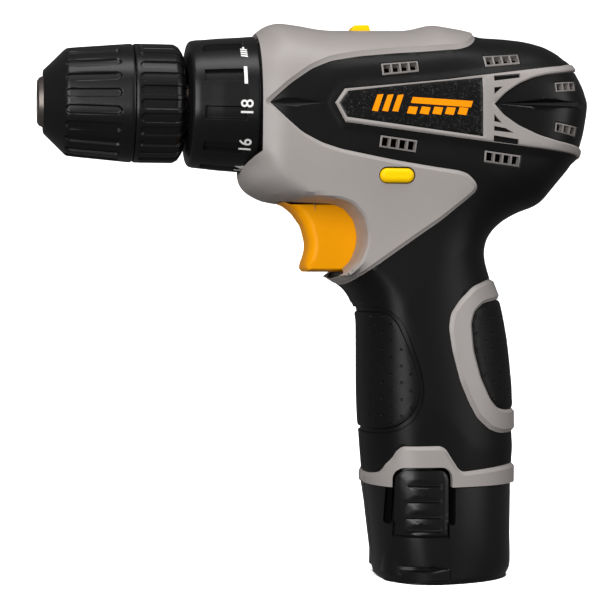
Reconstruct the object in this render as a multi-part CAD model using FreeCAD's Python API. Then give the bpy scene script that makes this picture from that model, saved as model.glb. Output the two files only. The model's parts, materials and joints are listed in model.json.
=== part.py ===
import FreeCAD, Part
import math
import os
from FreeCAD import Vector

# Cordless drill, millimetres.
# Origin: centre of the chuck's nose face, on the spindle axis.
# +X runs back along the spindle, +Z is up, and the halves part at Y = 0.

# ---------------------------------------------------------------- driving dimensions
# head: station along the spindle, height above, depth below, half width
HEAD_ROWS = [
    (60.5, 21.2, 23.4, 21.2), (66.0, 21.9, 27.9, 22.3), (69.6, 24.2, 29.8, 23.1),
    (73.2, 25.4, 30.8, 23.6), (80.0, 24.2, 31.4, 23.9), (90.0, 23.3, 32.6, 24.0),
    (104.0, 23.6, 34.2, 24.0), (114.0, 24.2, 35.2, 24.0), (121.0, 25.9, 35.6, 24.0),
    (128.0, 24.7, 35.8, 23.9), (137.0, 22.9, 35.6, 23.6), (146.0, 22.3, 34.4, 22.9),
    (152.0, 21.9, 32.0, 22.0), (158.0, 20.5, 28.8, 20.7), (162.5, 18.7, 24.4, 19.0),
    (166.3, 15.8, 20.6, 16.6), (169.6, 11.6, 16.2, 13.2), (172.0, 6.6, 10.0, 8.6),
    (172.9, 3.6, 5.6, 5.0)]
HEAD_POWER = 2.2
# grip: height, front, rear, half width (the battery base carries the same outline on down)
GRIP_ROWS = [
    (-12.0, 90.0, 150.0, 21.0), (-24.0, 89.6, 148.5, 21.6), (-33.0, 89.2, 144.6, 21.4),
    (-39.0, 88.9, 140.6, 21.2), (-44.5, 88.7, 138.9, 21.2), (-50.0, 88.6, 139.9, 21.3),
    (-52.6, 89.4, 141.0, 21.4), (-56.0, 93.8, 142.4, 21.7), (-60.0, 97.1, 144.0, 22.1),
    (-66.0, 98.6, 145.6, 22.6), (-76.0, 98.8, 147.0, 23.2), (-92.0, 99.0, 148.3, 23.7),
    (-104.0, 99.6, 148.6, 24.0), (-116.5, 100.3, 147.7, 24.1), (-132.0, 102.1, 147.3, 23.8),
    (-142.5, 103.4, 147.0, 23.4), (-146.0, 105.8, 144.8, 21.4)]
GRIP_MIDDLE = 113.8
GRIP_POWER_FRONT = 2.4
GRIP_POWER_REAR = 2.0
SECTION_POINTS = 16

WALL = 3.2
SKIN = 1.6
GAP = 0.3
SEAM_Z = -116.5
BASE_Z = -146.0
FRONT_X = 66.0
FRONT_WALL = 3.2

# chuck
NOSE_BORE_R = 5.3
BORE_STEP = 0.4
NOSE_BORE_LEN = 3.0
NOSE_RING_R = 8.5
CHUCK_R = 18.1
CHUCK_SEAM_X = 28.7
CHUCK_REAR_X = 44.3
BODY_FRONT_R = 13.6
BODY_REAR_R = 15.2
BODY_REAR_X = 43.6
BORE_END_X = 28.0
JAW_TILT = 15.0
JAW_R = 2.9
JAW_CROSS_X = -4.0
JAW_TIP_X = 2.0
JAW_TRAVEL = 18.6
JAW_LEN = 19.0
NUT_X0 = 21.4
NUT_X1 = 28.0
SLEEVE_IN_R = 16.0
FRONT_GROOVES = 21
REAR_GROOVES = 27

# spindle, clutch and collar
THREAD_R = 4.75
THREAD_X0 = 30.2
SPINDLE_R = 6.0
BUSH_R = 8.5
NOSE_R = 11.0
NOSE_X0 = 48.6
COLLAR_X0 = 44.6
COLLAR_X1 = 65.7
COLLAR_IN_R = 16.6
COLLAR_LIP_R = 11.5
COLLAR_WALL = 0.8
COLLAR_FLUTES = 11
SPRING_R = 13.2
SPRING_WIRE_R = 1.0
SPRING_TURNS = 4
PIN_CIRCLE_R = 14.0
CLUTCH_PIN_R = 1.25
CLUTCH_PINS = 6

# gearbox: three equal planetary stages
MODULE = 0.7
SUN_TEETH = 15
PLANET_TEETH = 12
RING_TEETH = SUN_TEETH + 2 * PLANET_TEETH
PRESSURE = math.radians(20.0)
TOOTH_THIN = 0.14
ADDENDUM = 0.8 * MODULE
DEDENDUM = 1.15 * MODULE
RING_ADDENDUM = 0.6 * MODULE
GEARBOX_R = 18.4
GEARBOX_IN_R = 16.8
GEARBOX_X1 = 97.2
GEARBOX_BACK = 2.0
STAGE_X = {"output": 71.4, "middle": 80.0, "input": 88.6}
PLANET_LEN = 6.0
CARRIER_T = 2.0
AXLE_R = 1.5
RUNNING = 0.05
SHIFT_TRAVEL = 4.0

# motor
MOTOR_X0 = 97.6
MOTOR_X1 = 150.0
MOTOR_R = 17.9
CAN_T = 1.4
SHAFT_R = 1.59
FAN_R = 12.0
FAN_BLADES = 9

# switch, trigger and buttons
TRIGGER_HALF = 7.8
TRIGGER_TOP = -29.7
TRIGGER_BOTTOM = -51.2
TRIGGER_REAR = 100.0
TRIGGER_TRAVEL = 6.0
ROD_R = 2.5
ROD_Z = -41.0
SWITCH = (108.0, 132.0, 9.0, -50.0, -32.6)
BUTTON_X = 106.5
BUTTON_Z = -22.55
BUTTON_R = 2.25
BUTTON_LEN = 10.6
BUTTON_HALF = 23.2
KNOB = (96.2, 102.2, 5.0, 25.2)

# battery
CELL_R = 9.1
CELL_LEN = 65.0
CELL_X = 114.8
CELL_Y = 9.3
CELL_REAR_X = 131.1
CELL_BOTTOM = -142.4
CASE_WALL = 0.75
CASE_TOP = -74.5
CASE_BOTTOM = -143.4
LATCH = (106.5, 122.3, -132.4, -111.4)
LATCH_T = 2.1
LATCH_ROOM = 4.2
LATCH_SLOT = 2.2

# fasteners
SCREW_R = 1.4
SCREW_HEAD_R = 2.6
SCREW_HEAD_T = 1.8
BOSS_R = 3.1
SCREWS = [(70.2, -25.3), (103.0, -58.6), (133.0, -57.5), (150.5, -25.5), (167.0, 0.0), (144.8, -107.0)]

FAR = 80.0


# ---------------------------------------------------------------- helpers
def box(x0, x1, y0, y1, z0, z1):
    return Part.makeBox(x1 - x0, y1 - y0, z1 - z0, Vector(x0, y0, z0))


def rod(x0, x1, r, y=0.0, z=0.0):
    return Part.makeCylinder(r, x1 - x0, Vector(x0, y, z), Vector(1, 0, 0))


def tube(x0, x1, r_out, r_in):
    return rod(x0, x1, r_out).cut(rod(x0 - 1, x1 + 1, r_in))


def turned(profile):
    """Solid of revolution about the spindle axis from (x, r) corners."""
    points = [Vector(x, 0, r) for x, r in profile]
    face = Part.Face(Part.makePolygon(points + points[:1]))
    return face.revolve(Vector(0, 0, 0), Vector(1, 0, 0), 360)


def prism_y(points, y0, y1):
    """Prism along Y from an outline of (x, z) corners."""
    corners = [Vector(x, y0, z) for x, z in points]
    return Part.Face(Part.makePolygon(corners + corners[:1])).extrude(Vector(0, y1 - y0, 0))


def curved_prism_y(runs, y0, y1):
    """Prism along Y from runs of (x, z) points: two points make a line, more a smooth curve."""
    edges = []
    for run in runs:
        points = [Vector(x, y0, z) for x, z in run]
        if len(points) == 2:
            edges.append(Part.LineSegment(points[0], points[1]).toShape())
        else:
            curve = Part.BSplineCurve()
            curve.interpolate(points)
            edges.append(curve.toShape())
    return Part.Face(Part.Wire(edges)).extrude(Vector(0, y1 - y0, 0))


def fused(shapes):
    return shapes[0].multiFuse(shapes[1:]).removeSplitter() if len(shapes) > 1 else shapes[0]


def around(shape, count, start=0.0):
    """Copies of a shape spaced evenly around the spindle axis."""
    copies = []
    for index in range(count):
        copy = shape.copy()
        copy.rotate(Vector(0, 0, 0), Vector(1, 0, 0), start + 360.0 * index / count)
        copies.append(copy)
    return copies


def signed_power(value, power):
    return math.copysign(abs(value) ** power, value)


# ---------------------------------------------------------------- outer body
def closed_curve(points):
    curve = Part.BSplineCurve()
    curve.interpolate(points, PeriodicFlag=True)
    return Part.Wire([curve.toShape()])


def head_section(x, top, depth, half_width, inset):
    points = []
    for index in range(SECTION_POINTS):
        angle = 2 * math.pi * (index + 0.5) / SECTION_POINTS
        y = (half_width - inset) * signed_power(math.cos(angle), 2 / HEAD_POWER)
        reach = top - inset if math.sin(angle) > 0 else depth - inset
        points.append(Vector(x, y, reach * signed_power(math.sin(angle), 2 / HEAD_POWER)))
    return closed_curve(points)


def grip_section(z, front, rear, half_width, inset):
    points = []
    for index in range(SECTION_POINTS):
        angle = 2 * math.pi * (index + 0.5) / SECTION_POINTS
        forward = math.cos(angle) < 0
        power = GRIP_POWER_FRONT if forward else GRIP_POWER_REAR
        reach = GRIP_MIDDLE - front - inset if forward else rear - inset - GRIP_MIDDLE
        x = GRIP_MIDDLE + reach * signed_power(math.cos(angle), 2 / power)
        y = (half_width - inset) * signed_power(math.sin(angle), 2 / power)
        points.append(Vector(x, y, z))
    return closed_curve(points)


def head_solid(inset):
    rows = [row for row in HEAD_ROWS if min(row[1:]) - inset > 3.0]
    return Part.makeLoft([head_section(*row, inset) for row in rows], True, False)


def grip_solid(inset):
    return Part.makeLoft([grip_section(*row, inset) for row in GRIP_ROWS], True, False)


def trigger_pocket(grow, y_reach=FAR):
    """Room in front of the grip for the trigger and the finger."""
    back = [(90.0, -30.6 + grow), (95.2 + grow, -34.6), (96.9 + grow, -41.0), (94.8 + grow, -48.0),
            (90.6 + grow, -52.4 - grow)]
    runs = [back, [back[-1], (60.0, -52.4 - grow)], [(60.0, -52.4 - grow), (60.0, -30.6 + grow)],
            [(60.0, -30.6 + grow), back[0]]]
    return curved_prism_y(runs, -y_reach, y_reach)


def collar_room():
    """Everything ahead of the housing's front face except the chin."""
    over = [(40.0, -10.0), (40.0, -40.0), (60.9, -40.0), (60.4, -21.5), (62.2, -18.6), (65.0, -16.2),
            (FRONT_X, -15.4), (FRONT_X, 40.0), (40.0, 40.0)]
    return prism_y(over, -FAR, FAR).fuse(rod(40.0, FRONT_X, 21.1 + 0.5))


def body_solid(inset):
    return head_solid(inset).fuse(grip_solid(inset).common(box(0, 200, -FAR, FAR, -160, -8)))


def direction_hole(grow):
    r = BUTTON_R + grow
    half = BUTTON_LEN / 2 - BUTTON_R
    ends = [Part.makeCylinder(r, 2 * FAR, Vector(BUTTON_X + s * half, -FAR, BUTTON_Z), Vector(0, 1, 0))
            for s in (-1, 1)]
    middle = box(BUTTON_X - half, BUTTON_X + half, -FAR, FAR, BUTTON_Z - r, BUTTON_Z + r)
    return fused(ends + [middle])


def openings():
    """Cuts for every piece that passes through the housing wall."""
    return [rod(FRONT_X - 1, FRONT_X + FRONT_WALL + 1, GEARBOX_R),
            box(72.4, SWITCH[0] - 0.4, -TRIGGER_HALF - GAP, TRIGGER_HALF + GAP,
                TRIGGER_BOTTOM - GAP, TRIGGER_TOP + GAP),
            direction_hole(GAP),
            box(KNOB[0] - GAP, KNOB[1] + SHIFT_TRAVEL + GAP, -KNOB[2] - GAP, KNOB[2] + GAP, 18.0, 40.0),
            box(LATCH[0] - 0.7, LATCH[1] + 1.8, -FAR, FAR, SEAM_Z - 1, LATCH[3] + 0.5)]


def outer_solid():
    """The housing's outside with every opening cut, from the battery seam up."""
    solid = body_solid(0.0).common(box(0, 200, -FAR, FAR, SEAM_Z, FAR))
    for cut in [trigger_pocket(0.0), collar_room()] + openings():
        solid = solid.cut(cut)
    return solid


def cavity_solid():
    inside = body_solid(WALL).common(box(FRONT_X + FRONT_WALL, 200, -FAR, FAR, -160, FAR))
    return inside.cut(trigger_pocket(WALL - 0.8))


OUTER = outer_solid()
UNDER_SKIN = body_solid(SKIN)
GRIP_0 = grip_solid(0.0)

# ---------------------------------------------------------------- surface regions (x, z)
BLACK_UPPER = [(67.8, -1.2), (74.1, 4.6), (80.6, 9.3), (87.0, 12.2), (96.0, 13.9), (108.0, 15.4),
               (126.8, 16.8), (130.6, 18.2), (133.4, 20.8), (134.6, 30.0)]
BLACK_LOWER = [(67.8, -1.2), (71.8, -5.1), (77.7, -10.1), (83.6, -13.1), (89.4, -14.8), (98.2, -16.4),
               (118.1, -19.8), (127.4, -20.8), (129.6, -22.4), (131.8, -25.6), (128.8, -29.5),
               (113.5, -40.7), (99.8, -50.2), (95.4, -54.2), (80.0, -58.0)]
BAND_TOP = [(80.0, -113.4), (101.6, -113.0), (103.6, -110.6), (106.3, -105.2), (107.8, -104.0),
            (120.2, -104.0), (121.6, -105.0), (125.5, -111.2), (127.0, -112.0), (160.0, -110.0)]
FRAME = [(87.3, -1.2), (90.6, 3.4), (96.0, 4.4), (122.1, 6.9), (133.8, 8.6), (159.0, 11.6), (190.0, 13.5),
         (190.0, -18.0), (165.1, -15.4), (133.5, -11.8), (96.0, -7.4), (90.6, -6.2)]
BADGE = [(88.8, -1.3), (91.4, 2.1), (106.7, 4.1), (132.8, 7.2), (132.8, -11.0), (90.6, -5.5)]
TAIL = [(136.6, -0.7), (139.8, 2.6), (144.0, 5.6), (149.0, 7.6), (154.0, 8.8), (160.0, 9.2), (190.0, 10.0),
        (190.0, -14.0), (164.7, -12.2), (157.1, -11.3), (150.4, -9.6), (144.0, -6.9), (139.6, -3.8)]
RING_OUT = [(138.5, -53.0), (131.9, -55.8), (127.0, -59.8), (123.8, -64.0), (123.0, -68.4),
            (124.0, -75.4), (126.5, -84.6), (129.2, -90.8), (132.2, -95.8), (136.7, -99.7),
            (141.0, -100.8), (160.0, -100.6), (160.0, -53.0)]
RING_IN = [(141.5, -59.6), (135.3, -60.6), (131.6, -63.5), (130.5, -67.2), (131.2, -75.3),
           (133.5, -83.5), (136.8, -90.1), (139.4, -93.1), (142.7, -93.9), (160.0, -93.1), (160.0, -59.6)]
# vent windows: middle x, middle z, length, height, slope in degrees
VENTS = [(107.5, 10.0, 11.4, 3.6, 5.0), (107.0, -13.2, 11.4, 3.6, -6.5), (139.8, 13.6, 11.4, 3.4, 6.5),
         (139.2, -17.1, 11.4, 3.4, -8.0), (160.0, 5.4, 7.8, 3.0, 7.0), (160.2, -7.9, 8.0, 3.0, -8.0)]
VENT_RIM = 0.7


def regions(side):
    """Rubber, tail panel, rear pad and badge prisms on one side (side is -1 or 1)."""
    y0, y1 = sorted((side * 0.0, side * FAR))
    black = BLACK_UPPER + [(190.0, 30.0), (190.0, -112.0)] + list(reversed(BAND_TOP))
    black += list(reversed(BLACK_LOWER))[:-1]
    rubber = prism_y(black, y0, y1).cut(prism_y(FRAME, y0, y1)).cut(prism_y(RING_OUT, y0, y1))
    return {"rubber": rubber, "tail_panel": prism_y(TAIL, y0, y1),
            "rear_pad": prism_y(RING_IN, y0, y1), "badge": prism_y(BADGE, y0, y1)}


def vent_boxes(inset):
    """Vent windows through both sides, drawn in by an inset."""
    cuts = []
    for x, z, length, height, slope in VENTS:
        half_x, half_z = length / 2 - inset, height / 2 - inset
        cut = box(x - half_x, x + half_x, -FAR, FAR, z - half_z, z + half_z)
        cut.rotate(Vector(x, 0, z), Vector(0, -1, 0), slope)
        cuts.append(cut)
    return Part.makeCompound(cuts)


# ---------------------------------------------------------------- housing and its skins
def screw_seat_y(x, z):
    """Where a screw head's top lies under the right half's surface."""
    line = Part.makeLine(Vector(x, 0, z), Vector(x, FAR, z))
    return line.common(OUTER).BoundBox.YMax - 2.6


def screws():
    solids = []
    for x, z in SCREWS:
        top = screw_seat_y(x, z)
        under = top - SCREW_HEAD_T
        head = Part.makeCylinder(SCREW_HEAD_R, SCREW_HEAD_T, Vector(x, under, z), Vector(0, 1, 0))
        tip = max(-under + 1.0, -8.0)
        shank = Part.makeCylinder(SCREW_R, under - tip, Vector(x, tip, z), Vector(0, 1, 0))
        cross = fused([box(x - 1.3, x + 1.3, top - 0.9, top + 1, z - 0.35, z + 0.35),
                       box(x - 0.35, x + 0.35, top - 0.9, top + 1, z - 1.3, z + 1.3)])
        solids.append(head.fuse(shank).cut(cross).removeSplitter())
    return solids


def screw_cuts(side):
    cuts = []
    for x, z in SCREWS:
        under = screw_seat_y(x, z) - SCREW_HEAD_T
        if side < 0:
            tip = max(-under + 1.0, -8.0)
            cuts.append(Part.makeCylinder(SCREW_R, -tip, Vector(x, tip, z), Vector(0, 1, 0)))
        else:
            cuts.append(Part.makeCylinder(SCREW_R, under + 1, Vector(x, -1, z), Vector(0, 1, 0)))
            wide = SCREW_HEAD_R + 0.2
            cuts.append(Part.makeCylinder(wide, FAR, Vector(x, under, z), Vector(0, 1, 0)))
    return Part.makeCompound(cuts)


def inner_ribs():
    """Ribs that cradle the motor, carry the switch and stop the terminal block."""
    inside = body_solid(WALL - 0.4)
    motor_room = rod(60, 180, MOTOR_R)
    cradle = fused([box(x, x + 2.0, -FAR, FAR, -19.6, FAR) for x in (112.5, 144.0)])
    cradle = cradle.common(inside).cut(motor_room)
    shelf = box(104.0, 139.0, -FAR, FAR, SWITCH[3] - 2.2, SWITCH[3]).common(inside)
    stop = box(102.0, 145.0, -FAR, FAR, -65.0, -63.0).common(inside)
    return [cradle, shelf, stop]


def housing_pieces():
    bosses = [Part.makeCylinder(BOSS_R, 2 * FAR, Vector(x, -FAR, z), Vector(0, 1, 0)) for x, z in SCREWS]
    filling = [boss.common(UNDER_SKIN) for boss in bosses] + inner_ribs()
    walls = OUTER.cut(cavity_solid()).multiFuse(filling).common(OUTER).cut(vent_boxes(VENT_RIM))
    skin = OUTER.cut(UNDER_SKIN)
    windows = vent_boxes(0.0)
    pieces = {}
    for side, word in ((-1, "left"), (1, "right")):
        half = box(0, 200, *sorted((0.0, side * FAR)), -200, FAR)
        fasteners = screw_cuts(side)
        skin_half = skin.common(half)
        shell = walls.common(half).cut(fasteners)
        for name, prism in regions(side).items():
            piece = skin_half.common(prism)
            shell = shell.cut(piece)
            if name in ("rubber", "tail_panel"):
                piece = piece.cut(windows).cut(fasteners)
            pieces[name + "_" + word] = piece
        pieces["housing_" + word] = shell
    return pieces


# ---------------------------------------------------------------- chuck
def jaw_axis_point(x):
    return (x - JAW_CROSS_X) * math.tan(math.radians(JAW_TILT))


def jaw_cylinder(x0, x1, r):
    """Cylinder on the top jaw's inclined axis between two stations."""
    tilt = math.radians(JAW_TILT)
    length = (x1 - x0) / math.cos(tilt)
    start = Vector(x0, 0, jaw_axis_point(x0))
    return Part.makeCylinder(r, length, start, Vector(math.cos(tilt), 0, math.sin(tilt)))


def top_jaw():
    """Jaw built closed, with its two gripping faces 120 degrees apart, then drawn back open."""
    solid = jaw_cylinder(JAW_TIP_X - 3, JAW_TIP_X + JAW_LEN, JAW_R)
    solid = solid.common(box(JAW_TIP_X, JAW_TIP_X + JAW_LEN - 1.0, -FAR, FAR, -FAR, FAR))
    edge = 0.25
    wedge = [(edge, 0.0), (edge + FAR * math.sin(math.radians(30)), FAR * math.cos(math.radians(30))),
             (edge + FAR * math.sin(math.radians(30)), -FAR * math.cos(math.radians(30)))]
    corners = [Vector(JAW_TIP_X - 5, y, z) for z, y in wedge]
    sector = Part.Face(Part.makePolygon(corners + corners[:1])).extrude(Vector(FAR, 0, 0))
    jaw = solid.common(sector)
    tilt = math.radians(JAW_TILT)
    along = JAW_TRAVEL
    jaw.translate(Vector(along * math.cos(tilt), 0, along * math.sin(tilt)))
    return jaw


def chuck_body():
    outer = turned([(0.0, 0.0), (0.0, 6.4), (0.5, 7.2), (3.0, NOSE_RING_R), (3.3, 8.6), (11.0, BODY_FRONT_R),
                    (NUT_X0 - 0.2, BODY_FRONT_R), (NUT_X0 - 0.2, 9.9), (NUT_X1 + 0.2, 11.6),
                    (NUT_X1 + 0.2, BODY_REAR_R), (BODY_REAR_X, BODY_REAR_R), (BODY_REAR_X, 0.0)])
    bores = [rod(-1, NOSE_BORE_LEN, NOSE_BORE_R), rod(NOSE_BORE_LEN - 0.1, BORE_END_X, NOSE_BORE_R + BORE_STEP),
             rod(BORE_END_X - 1, THREAD_X0 + 2, SCREW_R + 1.3),
             rod(THREAD_X0 - 0.2, BODY_REAR_X + 1, THREAD_R)]
    channel = jaw_cylinder(NOSE_BORE_LEN, BODY_REAR_X - 2.0, JAW_R + RUNNING)
    channel = channel.common(box(NOSE_BORE_LEN, BODY_REAR_X - 2.4, -FAR, FAR, -FAR, FAR))
    for cut in bores + around(channel, 3):
        outer = outer.cut(cut)
    return outer


def chuck_pieces():
    front = turned([(2.1, 9.2), (2.1, 10.8), (9.6, 16.4), (CHUCK_SEAM_X - GAP, CHUCK_R),
                    (CHUCK_SEAM_X - GAP, SLEEVE_IN_R), (13.0, SLEEVE_IN_R), (3.4, 9.2)])
    slope = (CHUCK_R - 16.4) / (CHUCK_SEAM_X - GAP - 9.6)
    groove_x0, groove_x1 = 12.0, 25.0
    start = Vector(groove_x0, 0, 16.4 + (groove_x0 - 9.6) * slope + 0.5)
    direction = Vector(groove_x1 - groove_x0, 0, (groove_x1 - groove_x0) * slope)
    groove = Part.makeCylinder(1.1, direction.Length, start, direction)
    groove = fused([groove, Part.makeSphere(1.1, start), Part.makeSphere(1.1, start.add(direction))])
    for cut in around(groove, FRONT_GROOVES):
        front = front.cut(cut)
    rear = turned([(CHUCK_SEAM_X + GAP, BODY_REAR_R), (CHUCK_SEAM_X + GAP, CHUCK_R), (41.0, CHUCK_R),
                   (42.5, 17.3), (43.8, 15.3), (CHUCK_REAR_X, 10.6), (BODY_REAR_X, 10.6),
                   (BODY_REAR_X, BODY_REAR_R)])
    notch = box(30.2, 50.0, -1.3, 1.3, CHUCK_R - 0.6, CHUCK_R + 2)
    for cut in around(notch, REAR_GROOVES):
        rear = rear.cut(cut)
    nut = turned([(NUT_X0, 10.3), (NUT_X0, SLEEVE_IN_R), (NUT_X1, SLEEVE_IN_R), (NUT_X1, 12.0)])
    screw = rod(25.4, BORE_END_X, 4.2).fuse(rod(BORE_END_X, 37.0, 2.5))
    screw = screw.cut(box(25.0, 26.8, -5, 5, -0.5, 0.5)).removeSplitter()
    pieces = {"chuck_body": chuck_body(), "chuck_front_sleeve": front, "chuck_rear_sleeve": rear,
              "chuck_nut": nut, "chuck_screw": screw}
    for index, jaw in enumerate(around(top_jaw(), 3)):
        pieces["chuck_jaw_%d" % (index + 1)] = jaw
    return pieces


# ---------------------------------------------------------------- gears
def gear_prism(teeth, addendum, dedendum, thin, x0, x1, phase, y=0.0, z=0.0):
    """Involute gear body; thin is taken off each tooth at the pitch circle."""
    pitch_r = MODULE * teeth / 2
    base_r = pitch_r * math.cos(PRESSURE)
    half = math.pi / (2 * teeth) - thin / (2 * pitch_r)
    pitch_inv = math.tan(PRESSURE) - PRESSURE

    def half_angle(r):
        slope = math.acos(min(1.0, base_r / max(r, base_r)))
        return half + pitch_inv - (math.tan(slope) - slope)

    low = pitch_r - dedendum
    radii = [low, max(base_r, low + 0.1 * MODULE), pitch_r, pitch_r + addendum * 0.55, pitch_r + addendum]
    corners = []
    for tooth in range(teeth):
        centre = phase + 2 * math.pi * tooth / teeth
        flank = [(r, centre - half_angle(r)) for r in radii]
        flank += [(r, centre + half_angle(r)) for r in reversed(radii)]
        corners += [Vector(x0, y + r * math.cos(a), z + r * math.sin(a)) for r, a in flank]
    return Part.Face(Part.makePolygon(corners + corners[:1])).extrude(Vector(x1 - x0, 0, 0))


UP = math.pi / 2
PLANET_ORBIT = MODULE * (SUN_TEETH + PLANET_TEETH) / 2
SUN_PHASE = UP + math.pi / SUN_TEETH
PLANET_ANGLES = [UP + 2 * math.pi * k / 3 for k in range(3)]


def sun_gear(x0, x1):
    return gear_prism(SUN_TEETH, ADDENDUM, DEDENDUM, TOOTH_THIN, x0, x1, SUN_PHASE)


def ring_gear(x0, x1, r_out):
    space = gear_prism(RING_TEETH, DEDENDUM, RING_ADDENDUM, -TOOTH_THIN, x0 - 1, x1 + 1, UP)
    return rod(x0, x1, r_out).cut(space)


def planets(stage):
    x0 = STAGE_X[stage]
    found = {}
    for index, angle in enumerate(PLANET_ANGLES):
        y, z = PLANET_ORBIT * math.cos(angle), PLANET_ORBIT * math.sin(angle)
        gear = gear_prism(PLANET_TEETH, ADDENDUM, DEDENDUM, TOOTH_THIN, x0, x0 + PLANET_LEN, angle, y, z)
        bore = rod(x0 - 1, x0 + PLANET_LEN + 1, AXLE_R + RUNNING, y, z)
        found["planet_%s_%d" % (stage, index + 1)] = gear.cut(bore)
    return found


def carrier_plate(stage):
    """Disc ahead of a stage's planets, with their axles."""
    x0 = STAGE_X[stage]
    disc = rod(x0 - 0.2 - CARRIER_T, x0 - 0.2, PLANET_ORBIT + AXLE_R + 1.0)
    axles = []
    for angle in PLANET_ANGLES:
        y, z = PLANET_ORBIT * math.cos(angle), PLANET_ORBIT * math.sin(angle)
        axles.append(rod(x0 - 0.2 - CARRIER_T, x0 + PLANET_LEN, AXLE_R, y, z))
    return [disc] + axles


def gear_pieces():
    pieces = {}
    for stage in STAGE_X:
        pieces.update(planets(stage))
    front = {"input": "middle", "middle": "output"}
    for stage, ahead in front.items():
        plate_x = STAGE_X[stage] - 0.2 - CARRIER_T
        sun = sun_gear(STAGE_X[ahead], plate_x + 0.5)
        pieces["carrier_" + stage] = fused(carrier_plate(stage) + [sun])
    pieces["ring_gear_output"] = ring_gear(STAGE_X["output"], STAGE_X["output"] + PLANET_LEN, GEARBOX_IN_R)
    shift = ring_gear(STAGE_X["middle"], STAGE_X["middle"] + PLANET_LEN, GEARBOX_IN_R - 0.1)
    middle = STAGE_X["middle"] + PLANET_LEN / 2
    pieces["ring_gear_shift"] = shift.cut(tube(middle - 1.0, middle + 1.0, FAR, 15.5))
    input_x0 = STAGE_X["middle"] + PLANET_LEN + SHIFT_TRAVEL + GAP
    pieces["ring_gear_input"] = ring_gear(input_x0, GEARBOX_X1 - GEARBOX_BACK, GEARBOX_IN_R)
    return pieces


def spindle():
    plate_x = STAGE_X["output"] - 0.2 - CARRIER_T
    shape = fused([rod(THREAD_X0, BODY_REAR_X + 0.3, THREAD_R), rod(BODY_REAR_X + 0.3, plate_x + 0.5, SPINDLE_R)]
                  + carrier_plate("output"))
    return shape.cut(rod(THREAD_X0 - 1, 37.0, 2.5))


def gearbox_pieces():
    front_x = COLLAR_X1 - 1.7
    wall_x = STAGE_X["output"] - 0.2 - CARRIER_T - GAP
    shell = fused([rod(NOSE_X0, FRONT_X, NOSE_R), rod(front_x, FRONT_X, COLLAR_IN_R - GAP),
                   rod(FRONT_X, GEARBOX_X1, GEARBOX_R)])
    shell = shell.cut(rod(wall_x, GEARBOX_X1 - GEARBOX_BACK, GEARBOX_IN_R))
    shell = shell.cut(rod(NOSE_X0 - 1, wall_x + 1, BUSH_R)).cut(rod(90, GEARBOX_X1 + 1, 6.4))
    pin = rod(front_x - 1, wall_x + 1, CLUTCH_PIN_R + RUNNING, 0.0, PIN_CIRCLE_R)
    for cut in around(pin, CLUTCH_PINS, 30.0):
        shell = shell.cut(cut)
    pin_x = STAGE_X["middle"] + PLANET_LEN / 2
    shell = shell.cut(box(pin_x - 1.1, pin_x + SHIFT_TRAVEL + 1.1, -FAR, FAR, -1.1, 1.1))
    spring_x0, spring_x1 = NOSE_X0 + COLLAR_WALL + GAP + SPRING_WIRE_R, front_x - 2.6
    clutch_pin = rod(front_x - 0.1, STAGE_X["output"] - 0.1, CLUTCH_PIN_R, 0.0, PIN_CIRCLE_R)
    washer = tube(front_x - 1.3, front_x - 0.1, 15.8, NOSE_R + GAP)
    bush = tube(NOSE_X0 + 0.2, wall_x, BUSH_R, SPINDLE_R + RUNNING)
    return {"gearbox_housing": shell, "clutch_washer": washer, "spindle_bush": bush,
            "clutch_pins": Part.makeCompound(around(clutch_pin, CLUTCH_PINS, 30.0)),
            "clutch_spring": coil_spring(spring_x0, spring_x1), "spindle": spindle()}


def coil_spring(x0, x1):
    """Coil about the spindle axis, built from half turns that meet square to each other."""
    rise = (x1 - x0) / (2 * SPRING_TURNS)
    halves = []
    for k in range(2 * SPRING_TURNS):
        side = 1 if k % 2 == 0 else -1
        start = Vector(x0 + k * rise, 0, side * SPRING_R)
        centre = Vector(x0 + (k + 0.5) * rise, 0, 0)
        axis = start.sub(centre).cross(Vector(0, -side, 0))
        disc = Part.Face(Part.Wire([Part.makeCircle(SPRING_WIRE_R, start, Vector(0, 1, 0))]))
        halves.append(disc.revolve(centre, axis, 180))
    return fused(halves)


def torque_collar():
    ring = turned([(COLLAR_X0, 14.2), (45.6, 18.8), (47.4, 19.5), (50.8, 19.8), (54.5, 20.2), (62.0, 20.7),
                   (COLLAR_X1, 21.1), (COLLAR_X1, COLLAR_IN_R), (NOSE_X0 + COLLAR_WALL, COLLAR_IN_R),
                   (NOSE_X0 + COLLAR_WALL, COLLAR_LIP_R), (46.4, COLLAR_LIP_R)])
    flute = box(49.0, 61.5, -1.9, 1.9, 19.0, 30.0)
    for cut in around(flute, COLLAR_FLUTES, 97.5):
        ring = ring.cut(cut)
    return ring


# ---------------------------------------------------------------- motor
def rotor_core():
    core = rod(108.0, 140.0, 13.8)
    slot = box(107.0, 141.0, -1.1, 1.1, 7.0, 20.0)
    for cut in around(slot, 5, 36.0):
        core = core.cut(cut)
    windings = turned([(104.0, SHAFT_R), (104.0, 9.0), (106.0, 11.5), (108.0, 11.5), (108.0, SHAFT_R)])
    tail = turned([(140.0, SHAFT_R), (140.0, 11.5), (142.0, 11.0), (143.5, 8.5), (143.5, SHAFT_R)])
    return core.cut(rod(100, 150, SHAFT_R)).multiFuse([windings, tail]).removeSplitter()


def fan():
    x0, x1 = 157.6, 163.0
    hub = tube(x0, x1, 4.0, SHAFT_R)
    back = tube(x0, x0 + 1.0, FAN_R, SHAFT_R)
    blade = box(x0 + 0.5, x1, -0.5, 0.5, 3.5, FAN_R)
    return fused([hub, back] + around(blade, FAN_BLADES))


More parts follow.
